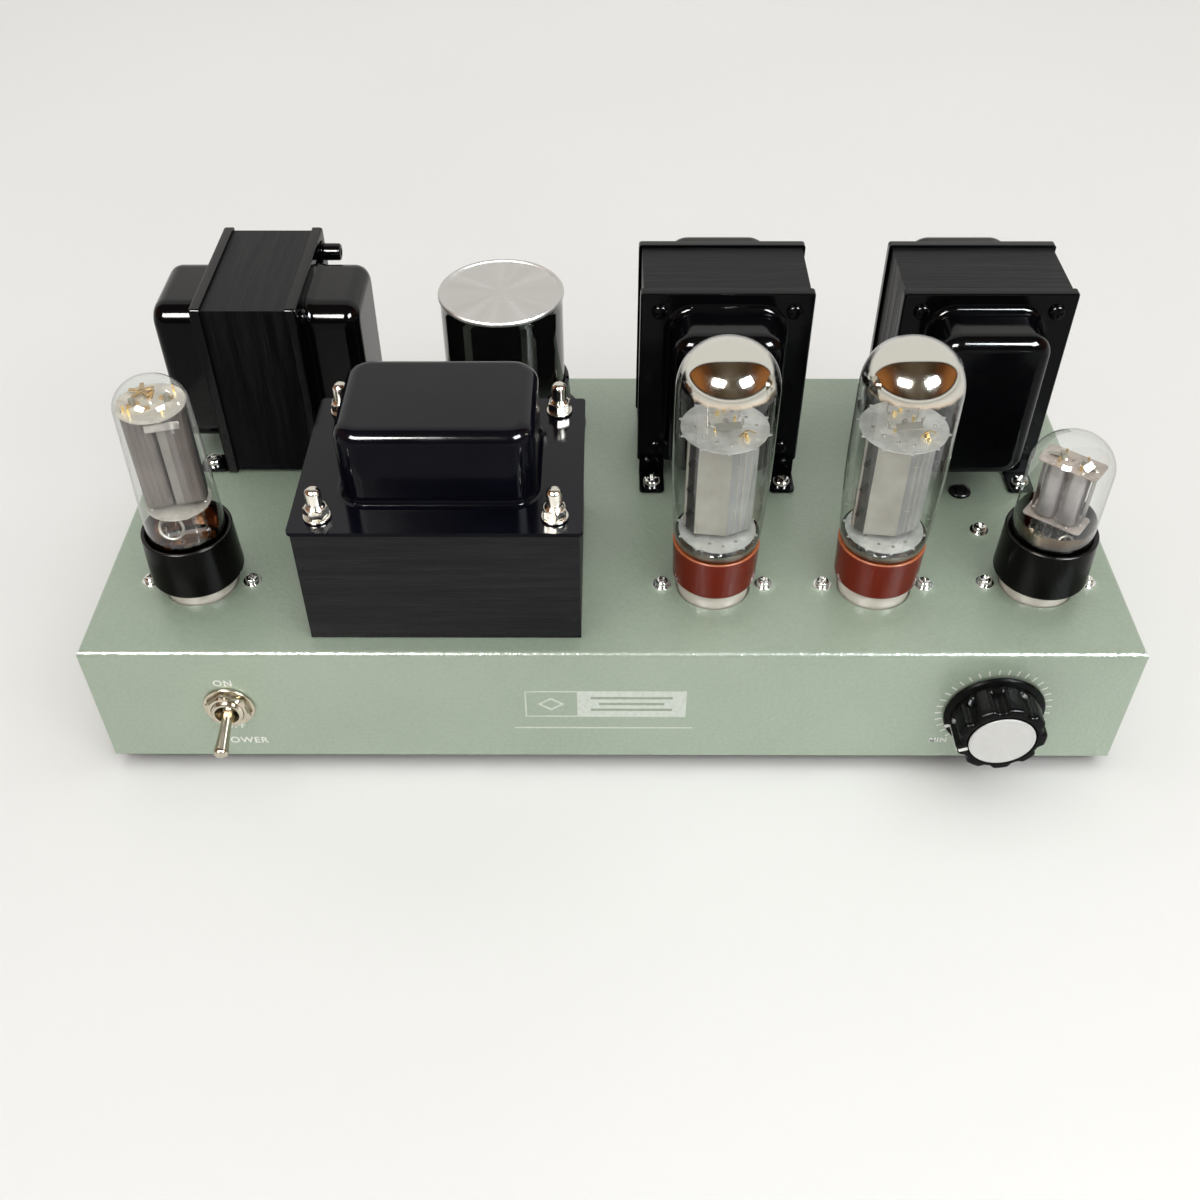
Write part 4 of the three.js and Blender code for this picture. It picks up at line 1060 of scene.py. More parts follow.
def build_power(tube, turn):
    build_base(tube, 15.2, 0.5, 17.3, 1.1, BROWN_BASE, BROWN_RIM, "brown_base")
    build_bulb(tube, [(13.6, 11), (13.8, 21), (15.2, 24.2), (15.9, 28), (16.5, 38), (17.15, 52),
                      (17.3, 62), (POWER_BULB["radius"], POWER_BULB["low"])], POWER_BULB["high"],
               POWER_BULB["power"])
    glass, wire, mica, plate = begin_tube(tube, turn)
    stem(glass, wire, 8, 19.5, [(x, 0, 27.5) for x in (-8, -5, -2, 2, 5, 8)])
    half = [(-12, 0), (-9.5, -4.6), (1.5, -7.6), (11.2, -4.1), (12, 0)]
    outline = half + [(-x, -y) for x, y in half[1:-1]]
    # Each anode face gets a lit or shaded copy of the metal: painted shade on the narrow faces, a painted
    # cool reflection on the front-right face.
    lit_and_shaded_faces = (PLATE_PAINTED_SHADE, PLATE_GREY, PLATE_COOL_REFLECTION, PLATE_PAINTED_SHADE)
    for i, (p, q) in enumerate(zip(outline, outline[1:] + outline[:1])):
        wall = [p, q, (q[0] * 0.95, q[1] * 0.93), (p[0] * 0.95, p[1] * 0.93)]
        plate.add(prism(wall, 30, 70.6, 0.12), lit_and_shaded_faces[i % 4])
    for k, radius in ((0.30, 0.28), (0.52, 0.45), (0.76, 0.3)):
        x, y = 1.5 + 9.7 * k, -7.6 + 3.5 * k
        for side in (-1, 1):
            plate.add(rod(side * x, side * y, 30.3, 70.3, radius), PLATE_GREY)
    # Pressed ribs, the folded seams at each side and the windows of the narrow face, drawn as dark blocks
    # of painted shade.
    for z in (40.5, 60):
        plate.add(block((-9.0, -0.12, z), (1.0, 0.12, z + 0.5), 0.1), PLATE_GREY,
                           at(0.25, -6.2, 0, -15.3) @ at(3.8, 0, 0))
    for side in (-1, 1):
        plate.add(block((side * 11.6 - 0.9, -0.5, 30.5), (side * 11.6 + 0.9, 0.5, 70), 0.15), PLATE_GREY)
        for z in (36, 47, 58):
            window = block((-0.9, -0.15, -2.8), (0.9, 0.15, 2.8), 0.1)
            plate.add(window, SHADE_BLOCK, at(side * 10.95, side * 2.35, z + 2, -61.5, ry=32))
    for radius, z in ((14.6, 27.4), (15.7, 71.8)):
        disc = prism(spiked(radius + 0.3, 10, 1.1, 0.055), z, z + 0.55, 0.1)
        mica.add(disc, MICA)
        for x, y in ((-8, -4), (8, 4), (-4.5, -8.5), (5, -8.6), (-10.5, 1), (10.5, -1), (0, -10.6),
                     (-3, 8), (4, 8)):
            eyelet(wire, x, y, z + 0.4, 0.42, DARK_WIRE)
    # Grid rods, the cathode sleeve and the strips that join them above the top mica.
    for x, y, z1, material in ((-6, 0, 75.5, TIN), (6, 0, 75.5, TIN), (-3.8, -2.4, 74.5, GOLD),
                               (3.8, 2.4, 74.5, GOLD)):
        wire.add(rod(x, y, 21, z1, 0.45), material)
    wire.add(rod(0, 0, 27, 75, 1.0, 16), PLATE_GREY)
    wire.add(bent([(-6, 0, 75.2), (-5, -2.6, 74.6), (-1, -3.6, 74.2), (2.5, -2.6, 74.4)], 0.22), TIN)
    wire.add(bent([(3, -7.5, 73), (6, -6.2, 74.4), (9, -6.5, 73.4)], 0.28), GOLD)
    for x, y, size in ((5.4, -7.2, 0.75), (-1.5, 6.5, 0.7), (1.2, 8.2, 0.6), (5.6, -9.1, 0.5)):
        wire.add(block((x - size, y - 0.35, 72.4), (x + size, y + 0.35, 72.4 + 2.4 * size), 0.12), GOLD)
    # Shield plates and the two getter rings below the dome.
    plate.add(block((-4.5, -1.7, 76), (4.5, 1.7, 76.3), 0.1), PLATE_GREY, at(0, 6.4, 0, 0, 8))
    for side in (-1, 1):
        wire.add(bent([(side * 5.2, 3, 72.4), (side * 5.6, 3.4, 78), (side * 5, 3, 83)], 0.3), TIN)
        wire.add(ring(3.1, 0.45), PLATE_BROWN, at(side * 5, 0.2, 83.6))
    plate.add(skin([(13.2, 18.6), (13.4, 21), (14.7, 24), (15.2, 26.6)], 96), DEPOSIT)
    finish_tube(tube, glass, wire, mica, plate)
    getter(tube, film_shell(**POWER_BULB, inset=0.4, start=88), POWER_FILM)


def build_rectifier(tube, turn):
    build_base(tube, 16.9, -0.7, 20.8, 1.5, BLACK_BASE, BLACK_BASE, "black_base")
    build_bulb(tube, [(13.4, 11), (13.9, 20), (14.0, 28), (13.7, 42), (13.1, 62), (12.6, 79)], 89.6)
    glass, wire, mica, plate = begin_tube(tube, turn)
    stem(glass, wire, 7, 24, [(-7, 0, 39), (7, 0, 39), (-3, 0, 33), (3, 0, 39)])
    spread = 5.6  # from the axis to the middle of each anode
    for side in (-1, 1):
        plate.add(anode_can(side * spread, 10, 10.6, 41, 78.6), PLATE_BROWN)
        for k in range(4):
            x = side * spread - 2.7 + 1.8 * k
            rib = block((x - 0.35, -5.55, 41.4), (x + 0.35, -5.22, 78.2), 0.15)
            plate.add(rib, PLATE_BROWN)
        wire.add(rod(side * spread, 0, 39, 83, 1.1, 16), PLATE_GREY)
    plate.add(block((-0.2, -5.6, 41.6), (2.6, -5.3, 78), 0.1), PLATE_PALE)
    # Painted shade: a dark strip down the right side of the anodes, where they are in shade.
    plate.add(block((9.9, -3.6, 42), (10.7, 1.5, 78), 0.1), SHADE_BLOCK)
    for radius, z in ((11.8, 38.6), (12.0, 80)):
        mica.add(prism(spiked(radius, 8, 0.35, 0.05), z, z + 0.5, 0.1), MICA_TAN)
        for x, y in ((-5.6, 5.5), (5.6, 5.5), (0, 0), (-9, -3), (9, -3)):
            eyelet(wire, x, y, z + 0.45, 0.5)
    plate.add(block((-5.6, -1.3, 0), (5.6, 1.3, 0.35), 0.12), PLATE_PALE, at(2.6, -9.2, 76.6, 0, 62))
    for k in range(5):
        arm = block((0.6, -0.7, 81.6), (4.3, 0.7, 82.1), 0.15)
        wire.add(arm, BRASSY, at(-2.6, 6.2, 0, 72 * k + 14))
    for x, y, turn_z in ((-5.6, 0, 20), (5.2, 1.5, -15), (0.2, 4.6, 80), (-2.4, -3.2, 10)):
        wire.add(block((-2.3, -0.9, 80.6), (2.3, 0.9, 81.1), 0.12), BRASSY, at(x, y, 0, turn_z))
    for x, y in ((-8.5, -3.4), (-6.8, -5.2), (7.8, 4.8), (3.6, -6.0)):
        wire.add(rod(x, y, 80, 83, 0.4), GOLD)
    for x, y, z in ((-8.4, -4.8, 37.4), (-5.6, -6.6, 36.8), (-9.6, -1.8, 37.8)):
        wire.add(block((x - 0.5, y - 0.5, z), (x + 0.5, y + 0.5, z + 1.3), 0.2), GOLD)
    wire.add(bent([(-7, 0, 24), (-8.4, -1.4, 26), (-8.2, -2.4, 28), (-6.8, -3, 29)], 0.32), TIN)
    wire.add(ring(4.2, 0.6), PLATE_GREY, at(-4.6, -3.2, 29.5, 0, 30, 25))
    plate.add(lathe([(0, 9.9), (12.0, 9.9), (12.2, 14), (12.0, 15.4), (6, 16), (0, 16)], 48), AMBER)
    finish_tube(tube, glass, wire, mica, plate)
    getter(tube, skin([(12.7, 31), (12.75, 24), (12.6, 17)], 96), RECTIFIER_FILM)


def build_driver(tube, turn):
    build_base(tube, 17, -0.5, 20.4, 1.9, BLACK_BASE, BLACK_BASE, "black_base")
    build_bulb(tube, [(13.6, 11), (14.2, 20), (14.5, 30), (14.5, 54)], 67.2)
    glass, wire, mica, plate = begin_tube(tube, turn)
    stem(glass, wire, 8, 22, [(x, 0, 32) for x in (-8, -5.4, -2.7, 2.7, 5.4, 8)])
    spread = 3.9  # from the axis to the middle of each anode
    for side in (-1, 1):
        plate.add(anode_can(side * spread, 7, 8.4, 33.4, 55.2), PLATE_MAUVE)
        plate.add(block((side * spread - 3.7, -0.45, 33.6), (side * spread + 3.7, 0.45, 55), 0.12),
                  PLATE_MAUVE)
        plate.add(block((side * 8.9 - 0.2, -2.4, 33.6), (side * 8.9 + 0.2, 2.4, 55), 0.1), PLATE_PALE)
        wire.add(rod(side * spread, 0, 31, 59, 0.9, 16), PLATE_GREY)
        for y in (-3, 3):
            wire.add(rod(side * spread, y, 31, 58.6, 0.35), GOLD)
    wire.add(rod(0, 0, 22, 58, 0.5), TIN)
    for z in (32, 56):
        mica.add(prism(rounded(21.4, 11.4, 1.6, 5), z, z + 0.5, 0.12), MICA_PINK)
        for x, y in ((-8.6, 0), (-2.5, 0), (2.5, 0), (8.6, 0), (-5.5, 4.4), (5.5, -4.4)):
            eyelet(wire, x, y, z + 0.45, 0.5)
    for x, turn_z in ((-5.5, 12), (5.5, -8)):
        plate.add(block((-3, -1.0, 57.4), (3, 1.0, 57.7), 0.1), PLATE_GREY, at(x, 0, 0, turn_z))
    wire.add(bent([(8, 0, 22), (9.4, -2, 24), (9.0, -4.5, 26.4)], 0.32), TIN)
    wire.add(ring(2.8, 0.5), PLATE_GREY, at(7.2, -5.6, 27.2, 0, 35, -20))
    finish_tube(tube, glass, wire, mica, plate)
    getter(tube, skin([(14.05, 33), (14.0, 28), (13.8, 21.5), (13.4, 17)], 96), DRIVER_FILM)


def deck_metres(height):
    return (DECK + height) * MM


POWER_FILM = mirror_film("power_getter", deck_metres(89.5), deck_metres(95.5), (0.76, 0.735, 0.675),
                         (0.62, 0.36, 0.16), 0.5)
DEPOSIT = mirror_film("power_deposit", deck_metres(30), deck_metres(14), (0.13, 0.115, 0.10),
                      (0.20, 0.16, 0.12), 1.2)
DRIVER_FILM = mirror_film("driver_getter", deck_metres(34), deck_metres(24), (0.055, 0.045, 0.038),
                          (0.15, 0.10, 0.05), 0.9)
RECTIFIER_FILM = mirror_film("rectifier_getter", deck_metres(31), deck_metres(18), (0.22, 0.12, 0.06),
                             (0.24, 0.11, 0.05), 0.6)

build_rectifier("rectifier", 15)
build_power("power_left", 8)
build_power("power_right", 8)
build_driver("driver", -38)

# ------------------------------------------------------------------ mains transformer


def build_mains():
    low, high = box("mains_core")
    middle = centre("mains_core")
    half = (high - low) / 2
    place = at(middle.x, middle.y)
    core = block((-half.x, -half.y, low.z), (half.x, half.y, high.z), 0.15)
    window = [block((side * 24 - 8, -23, low.z - 1), (side * 24 + 8, 23, high.z + 1), 0)
              for side in (-1, 1)]
    core = carved(core, *window)
    fixed("mains_sheets", "lamination", Shape(place).add(core, CORE_Z), "mains_core")
    coil_low, coil_high = box("mains_coil")
    size = coil_high - coil_low
    outer = prism(rounded(size.x, size.y, 8, 8), coil_low.z, coil_high.z, 4.5, 4)
    bore = block((-16.3, -40, low.z - 0.3), (16.3, 40, high.z + 0.3), 0)
    fixed("mains_winding", "copper", Shape(place).add(carved(outer, bore), WINDING), "mains_coil")

    low, high = box("mains_bell")
    size = high - low
    plate = pressed(size.x, size.y, 1.6, [(0, low.z), (0, low.z + 1.5)], 4)
    crown = [(2.6, low.z + 1.4), (1.1, low.z + 1.75), (0.35, low.z + 2.7), (0, low.z + 4.5),
             (0, high.z - 5.2)]
    crown += shoulder(5.2, high.z - 5.2)
    shape = Shape(place).add(plate, ENAMEL_BLUE)
    shape.add(pressed(67, 47, 9, crown, 10), ENAMEL_BLUE)
    fixed("mains_cover", "black_paint", shape, "mains_bell")
    seat = high.z - 28.6 + 0.3
    for node in STUDS:
        stud_low, stud_high = box(node)
        spot = centre(node)
        shape = Shape(at(spot.x, spot.y)).add(threaded(2.2, stud_low.z, seat + 5), NICKEL)
        washer = fillet([(2.3, seat), (4.7, seat), (4.7, seat + 0.8), (2.3, seat + 0.8)], 0.25)
        shape.add(lathe(washer, 48, loop=True), NICKEL)
        shape.add(nut(4.3, 3.6), NICKEL, at(0, 0, seat + 0.8, dice.uniform(0, 60)))
        crown = stud_high.z - 0.8
        cap = [(0, seat + 4.2), (3.2, seat + 4.3), (3.1, seat + 4.9), (2.55, seat + 5.4),
               (2.75, seat + 6.0), (2.75, crown - 2.2), (2.4, crown - 1.1), (1.6, crown - 0.3),
               (0.7, crown), (0, crown)]
        shape.add(lathe(smooth_lathe(cap), 40), NICKEL)
        shape.add(nut(4.4, 3.6), NICKEL, at(0, 0, DECK - 1.8 - 3.6))
        fixed(node + "_steel", "nickel", shape, node)


build_mains()

# ------------------------------------------------------------------ choke and output transformers


def build_frame(unit, ends, core_look):
    middle = centre(unit + "_core")
    crosswise = unit == "choke"
    turn = -90 if crosswise else 0
    width, height, depth = (64.2, 76.4, 40.0)
    level = middle.z
    rest = at(middle.x, middle.y, level, turn)
    # Stack of sheets with its two windows, and the coil through them.
    half_x, half_y, half_z = width / 2 - 1.2, depth / 2 - 1.5, height / 2 - 1.2
    core = block((-half_x, -half_y, -half_z), (half_x, half_y, half_z), 0.12)
    cuts = [block((-19, -30, side * 18.6 - 6.2), (19, 30, side * 18.6 + 6.2), 0) for side in (-1, 1)]
    core = carved(core, *cuts)
    fixed(unit + "_sheets", "lamination", Shape(rest).add(core, core_look), unit + "_core")
    coil = prism(rounded(67.6, 48.6, 5, 8), -18.2, 18.2, 1.5, 3)
    coil.transform(Matrix.Rotation(math.radians(90), 4, "Y") @ Matrix.Rotation(math.radians(90), 4, "Z"))
    bore = block((-40, -18.8, -12.7), (40, 18.8, 12.7), 0)
    fixed(unit + "_winding", "copper", Shape(rest).add(carved(coil, bore), WINDING), unit + "_coil")

    for end, extra in zip(ends, (0, 180)):
        place = at(middle.x, middle.y, level, turn + extra)
        shape = Shape(place)
        face = at(0, -depth / 2, 0, 0, 90)
        pan = pressed(width, height, 1.2, [(-1.2, -2.4), (-1.0, -4.0), (0, -4.0), (0, -0.9),
                                           (-0.35, -0.25), (-0.9, 0)], 4)
        back = [f for f in pan.faces if len(f.verts) > 4 and f.calc_center_median().z < -2]
        bmesh.ops.delete(pan, geom=back, context="FACES")
        shape.add(pan, ENAMEL, face)
        crown = [(3.0, -0.05), (1.5, 0.3), (0.5, 1.2), (0, 3.0), (0, 14.4)]
        crown += shoulder(5.6, 14.4)
        shape.add(pressed(41, 62, 8.5, crown, 10), ENAMEL, face)
        floor = DECK + 0.3 - level
        for side in (-1, 1):
            x = side * TAB["offset"]
            foot_outline = [(x + px, -depth / 2 - 5.8 + py) for px, py in rounded(10, 11.6, 1.6, 5)]
            tab = prism(foot_outline, floor, floor + 1.5, 0.3)
            shape.add(tab, ENAMEL)
            shape.add(block((x - 5, -depth / 2, floor), (x + 5, -depth / 2 + 1.2, -height / 2 + 4), 0.25),
                      ENAMEL)
            for z in (-30.8, 30.8):
                spot = at(side * 24.8, -depth / 2, z, 0, 90)
                tall = crosswise and extra == 180 and z > 0 and (place @ spot).translation.y > middle.y
                if tall:
                    washer = fillet([(2.2, -0.2), (4.4, -0.2), (4.4, 0.7), (2.2, 0.7)], 0.25)
                    shape.add(lathe(washer, 40), ENAMEL, spot)
                    end_cap = turned([(3.4, 0.6), (3.4, 7.0), (2.9, 7.6)], 0.5, 40)
                    shape.add(carved(end_cap, cylinder(1.7, 6.0, 9, 6)), ENAMEL, spot)
                elif extra == 180 and not crosswise:
                    shape.add(nut(3.9, 3.0), BLACK_BOLT, spot @ at(0, 0, -0.1))
                    shape.add(threaded(2.0, 2.0, 6.6), BLACK_BOLT, spot)
                else:
                    dish = fillet([(0, -0.2), (3.0, -0.2), (3.0, 0.9), (2.4, 1.7), (0, 1.9)], 0.6, 4)
                    arms = [block((-x, -y, 1.0), (x, y, 5), 0) for x, y in ((1.9, 0.4), (0.4, 1.9))]
                    head = carved(lathe(dish, 36), *arms)
                    shape.add(head, ENAMEL, spot)
        fixed(f"{unit}_cover_{end}", "black_paint", shape, f"{unit}_bell_{end}")


build_frame("choke", ("left", "right"), CORE_X)
build_frame("output_left", ("front", "rear"), CORE_Y)
build_frame("output_right", ("front", "rear"), CORE_Y)

# ------------------------------------------------------------------ smoothing capacitor


def build_capacitor():
    middle = centre("capacitor_can")
    place = at(middle.x, middle.y, DECK)
    top = box("capacitor_can")[1].z - DECK
    sleeve = [(0, 0.3), (23.6, 0.3), (24.3, 1.2), (24.35, 20), (24.3, top - 4.0), (24.45, top - 2.8),
              (24.6, top - 2.0), (24.2, top - 1.7)]
    shape = Shape(place).add(skin(fillet(sleeve, 0.6), 128), SLEEVE)
    rim = [(24.2, top - 2.2), (24.9, top - 1.7), (24.95, top - 0.7), (24.4, top), (23.6, top - 0.05),
           (23.0, top - 0.7), (22.4, top - 0.85)]
    shape.add(skin(fillet(rim, 0.35, 4), 128), CAN_TOP)
    shape.add(skin([(22.4, top - 0.85), (9.4, top - 0.8), (9.0, top - 0.65), (8.6, top - 0.8),
                    (0, top - 0.8)], 128), CAN_TOP)
    for x in (-11, 11):
        stud = turned([(2.6, -8), (3, -7.4), (3, 0.5)], 0.3, 24)
        shape.add(stud, TIN, at(x, 0, 0))
    fixed("can_sleeve", "can_aluminium", shape, "capacitor_can")
    ring_profile = fillet([(24.7, 0.3), (33, 0.3), (33, 1.9), (28.9, 2.6), (27.0, 9.5), (26.2, 20),
                           (26.2, 24), (24.7, 24)], 0.7, 4)
    clamp = carved(lathe(ring_profile, 96, loop=True), block((25, -1.0, 2.8), (40, 1.0, 30), 0))
    fixed("can_clamp", "black_plastic", Shape(place).add(clamp, ENAMEL), "capacitor_clamp")


CAN_MIDDLE = centre("capacitor_can") * MM
CAN_TOP = spun("can_top", (0.55, 0.54, 0.52), CAN_MIDDLE, 2, (0.34, 0.46))
build_capacitor()

# ------------------------------------------------------------------ front controls


def build_toggle():
    spot = Vector((centre("toggle_nut").x, FRONT, centre("toggle_nut").z))
    place = at(spot.x, FRONT, spot.z, 0, 90)  # local Z points out of the panel
    body = Shape(place)
    # Threaded bush with a conical throat.
    profile = [(5.5, -1)]
    z = 0.0
    while z < 4.4:
        profile += [(5.45, z), (5.8, z + 0.3)]
        z += 0.6
    profile += [(5.4, 4.9), (5.1, 5.0), (4.5, 4.9), (3.5, 0.9), (3.4, 0.2), (3.4, -5), (5.5, -5)]
    body.add(lathe(profile, 56, loop=True), AGED_NICKEL)
    case = block((-8.5, -14, -1.8 - 19), (8.5, 14, -1.8), 0.8, 3)
    case = carved(case, cylinder(3.6, -9, 2, 32))
    body.add(case, BLACK_PLASTIC)
    for z in (-9, 0, 9):
        body.add(block((-2.4, z - 0.5, -27.8), (2.4, z + 0.5, -20), 0.15), TIN)
    fixed("toggle_bush", "nickel", body, "toggle_body")
    hardware = Shape(place)
    washer = fillet([(6.1, 0.3), (9.4, 0.3), (9.4, 1.3), (6.1, 1.3)], 0.3)
    hardware.add(lathe(washer, 64, loop=True), AGED_NICKEL)
    hardware.add(nut(8.5, 2.4, 6.1), AGED_NICKEL, at(0, 0, 1.35, 9))
    fixed("toggle_ring_nut", "nickel", hardware, "toggle_nut")
    lever = [(0, -2.7), (1.2, -2.45), (2.1, -1.7), (2.6, -0.7), (2.7, 0.2), (2.4, 1.3), (1.95, 2.6),
             (1.95, 6), (2.1, 11), (2.35, 14.8), (2.6, 17.3), (2.65, 18.3), (2.4, 19.2), (1.7, 19.75),
             (0.8, 19.9), (0, 19.9)]
    tilt = 13.5  # degrees off square to the panel, as in the photo
    pivot = at(spot.x, FRONT - 1.0, spot.z, 0, 90 + tilt)
    piece("toggle_bat", "switch", "nickel", Shape(pivot).add(lathe(smooth_lathe(lever), 48), AGED_NICKEL),
          "toggle_lever")


def grip_radius(angle, height, base, flutes, depth, start):
    """Fluted grip: each dip starts at a chevron and runs out through the front."""
    turn = abs((angle * flutes / TAU) % 1.0 - 0.5) * 2
    across = max(0.0, 1.0 - turn / 0.56)
    begin = start + 3.4 * across
    rise = min(1.0, max(0.0, (height - begin) / 0.7))
    return base - depth * min(1.0, across * 1.7) * rise


def build_volume():
    place = at(KNOB.x, FRONT, KNOB.z, 0, 90)
    back = 0.8
    sides = 216
    levels = [(back, 17.6), (back + 0.25, 18.25), (back + 0.9, 18.4), (back + 1.6, 18.0),
              (back + 1.9, 17.2), (back + 2.1, 16.5)]
    rings = [circle(r, sides, z) for z, r in levels]
    rim = [(11.0, 0.0), (13.4, 0.0), (14.3, 0.15), (14.8, 0.6), (15.0, 1.1)]
    for z, inset in [(3.0 + 0.45 * k, 0.0) for k in range(13)] + rim:
        rings.append([])
        for i in range(sides):
            angle = TAU * i / sides
            radius = grip_radius(angle, z, 16.3, 9, 1.5, 3.2) - inset
            rings[-1].append((radius * math.cos(angle), radius * math.sin(angle), z))
    rings += [circle(r, sides, z) for z, r in ((15.05, 13.4), (14.95, 12.6), (14.4, 12.25), (14.3, 12),
                                               (14.3, 0))]
    shape = Shape(place)
    grip = carved(rings_mesh(rings),
                  lathe([(0, -1), (9.5, -1), (9.5, 6.8), (3.3, 6.8), (3.3, 12.8), (0, 12.8)], 64))
    shape.add(grip, KNOB_PLASTIC)
    # White pointer over the skirt, the side and the front rim.
    angle = math.radians(200)
    for r0, r1, z0, z1 in ((16.5, 18.35, 2.6, 3.0), (16.0, 16.45, 3.0, 14.4), (12.3, 15.6, 14.85, 15.2)):
        mark = block((r0, -0.7, z0), (r1, 0.7, z1), 0.08)
        shape.add(mark, WHITE_PRINT, Matrix.Rotation(angle, 4, "Z"))
    piece("knob_grip", "volume", "black_plastic", shape, "volume_knob")
    disc = [(0, 14.7), (11.6, 14.7), (11.9, 15.0), (11.9, 15.35), (11.4, 15.68), (10.9, 15.6),
            (10.6, 15.42), (0, 15.4)]
    shape = Shape(place).add(lathe(fillet(disc, 0.2, 3), 128), KNOB_DISC)
    piece("knob_disc", "volume", "can_aluminium", shape, "knob_cap")
    shaft = [(0, -6.5), (2.9, -6.5), (3, -6.3), (3, 12.1), (2.6, 12.5), (0, 12.5)]
    piece("pot_shaft", "volume", "can_aluminium", Shape(place).add(lathe(shaft, 40), CHROME),
          "volume_shaft")
    pot = Shape(place)
    pot.add(lathe(fillet([(3.35, -19.8), (11.4, -19.8), (12, -19.2), (12, -1.8), (4.6, -1.8), (4.6, 5.7),
                          (4.3, 6), (3.35, 6)], 0.5), 64, loop=True), ZINC)
    pot.add(nut(6.6, 2.2, 4.65), ZINC, at(0, 0, 0.3))
    for x in (-5, 0, 5):
        pot.add(block((x - 1, -19, -6.6), (x + 1, -10, -5.8), 0.15), TIN)
    fixed("pot_case", "zinc", pot, "volume_pot")


KNOB_DISC = spun("knob_disc", (0.62, 0.615, 0.60), KNOB * MM, 1, (0.40, 0.50), 0.05)
build_toggle()
build_volume()

# ------------------------------------------------------------------ rear connectors


def rear_place(x, z):
    """Local Z points out of the rear panel."""
    return at(x, REAR, z, 180, 90)


def build_inlet():
    middle = centre("mains_inlet")
    place = rear_place(middle.x, middle.z)
    flange = prism(rounded(58, 30, 3, 6), 0.3, 2.5, 0.4, 3)
    shell = prism(rounded(50, 25.4, 2, 4), -24, 1.0, 0.4)
    # Socket pocket with two chamfered corners, and the slot for the fuse drawer.
    pocket_outline = [(-21.85, -8.5), (2.65, -8.5), (2.65, 4.6), (-1.2, 8.5), (-18.0, 8.5), (-21.85, 4.6)]
    pocket = rings_mesh([[(x, y, z) for x, y in pocket_outline] for z in (-14.5, 4)])
    drawer = block((9.8, -10, -17.5), (21.8, 10, 4), 0)
    shape = Shape(place)
    solid = carved(flange, pocket.copy(), drawer.copy())
    shell = carved(shell, pocket, drawer)
    shape.add(solid, BLACK_PLASTIC).add(shell, BLACK_PLASTIC)
    for x, y in ((-16.6, -2), (-9.6, 2), (-2.6, -2)):
        blade = block((x - 1, y - 2, -14.6), (x + 1, y + 2, -3.6), 0.35)
        shape.add(blade, NICKEL)
    for side in (-1, 1):
        shape.screw(BLACK_BOLT, at(side * 25.8, 11.6, 2.4), 0.75)
        shape.screw(BLACK_BOLT, at(side * 25.8, -11.6, 2.4), 0.75)
    fixed("inlet_housing", "black_plastic", shape, "mains_inlet")

    middle = centre("fuse_drawer")
    place = rear_place(middle.x, middle.z)
    tray = carved(block((-5.7, -9.7, -17.2), (5.7, 9.7, 3.3), 0.25),
                  block((-4.7, -12, -14.5), (4.7, 7.2, -0.5), 0))
    shape = Shape(place).add(tray, BLACK_PLASTIC)
    lip = block((-5.7, 5.7, 2.5), (5.7, 9.7, 5.1), 0.5, 3)
    shape.add(lip, BLACK_PLASTIC)
    for i in range(4):
        shape.add(block((-4.5, 6.2 + 0.8 * i, 4.9), (4.5, 6.55 + 0.8 * i, 5.1), 0.08), BLACK_PLASTIC)
    shape.add(rod(0, -7.2, -13.8, -1.2, 2.2, 24), GLASS)
    for z in (-13.6, -3.6):
        shape.add(rod(0, -7.2, z, z + 2.6, 2.4, 24), NICKEL)
    piece("fuse_carrier", "fuse", "black_plastic", shape, "fuse_drawer")


def knurled(radius, teeth, depth, z0, z1, chamfer, sides_per=10):
    rings = []
    for z, shrink in ((z0, chamfer), (z0 + chamfer, 0), (z1 - chamfer, 0), (z1, chamfer)):
        points = []
        for i in range(teeth * sides_per):
            angle = TAU * i / (teeth * sides_per)
            r = radius - depth * (0.5 - 0.5 * math.cos(teeth * angle)) - shrink
            points.append((r * math.cos(angle), r * math.sin(angle), z))
        rings.append(points)
    return rings


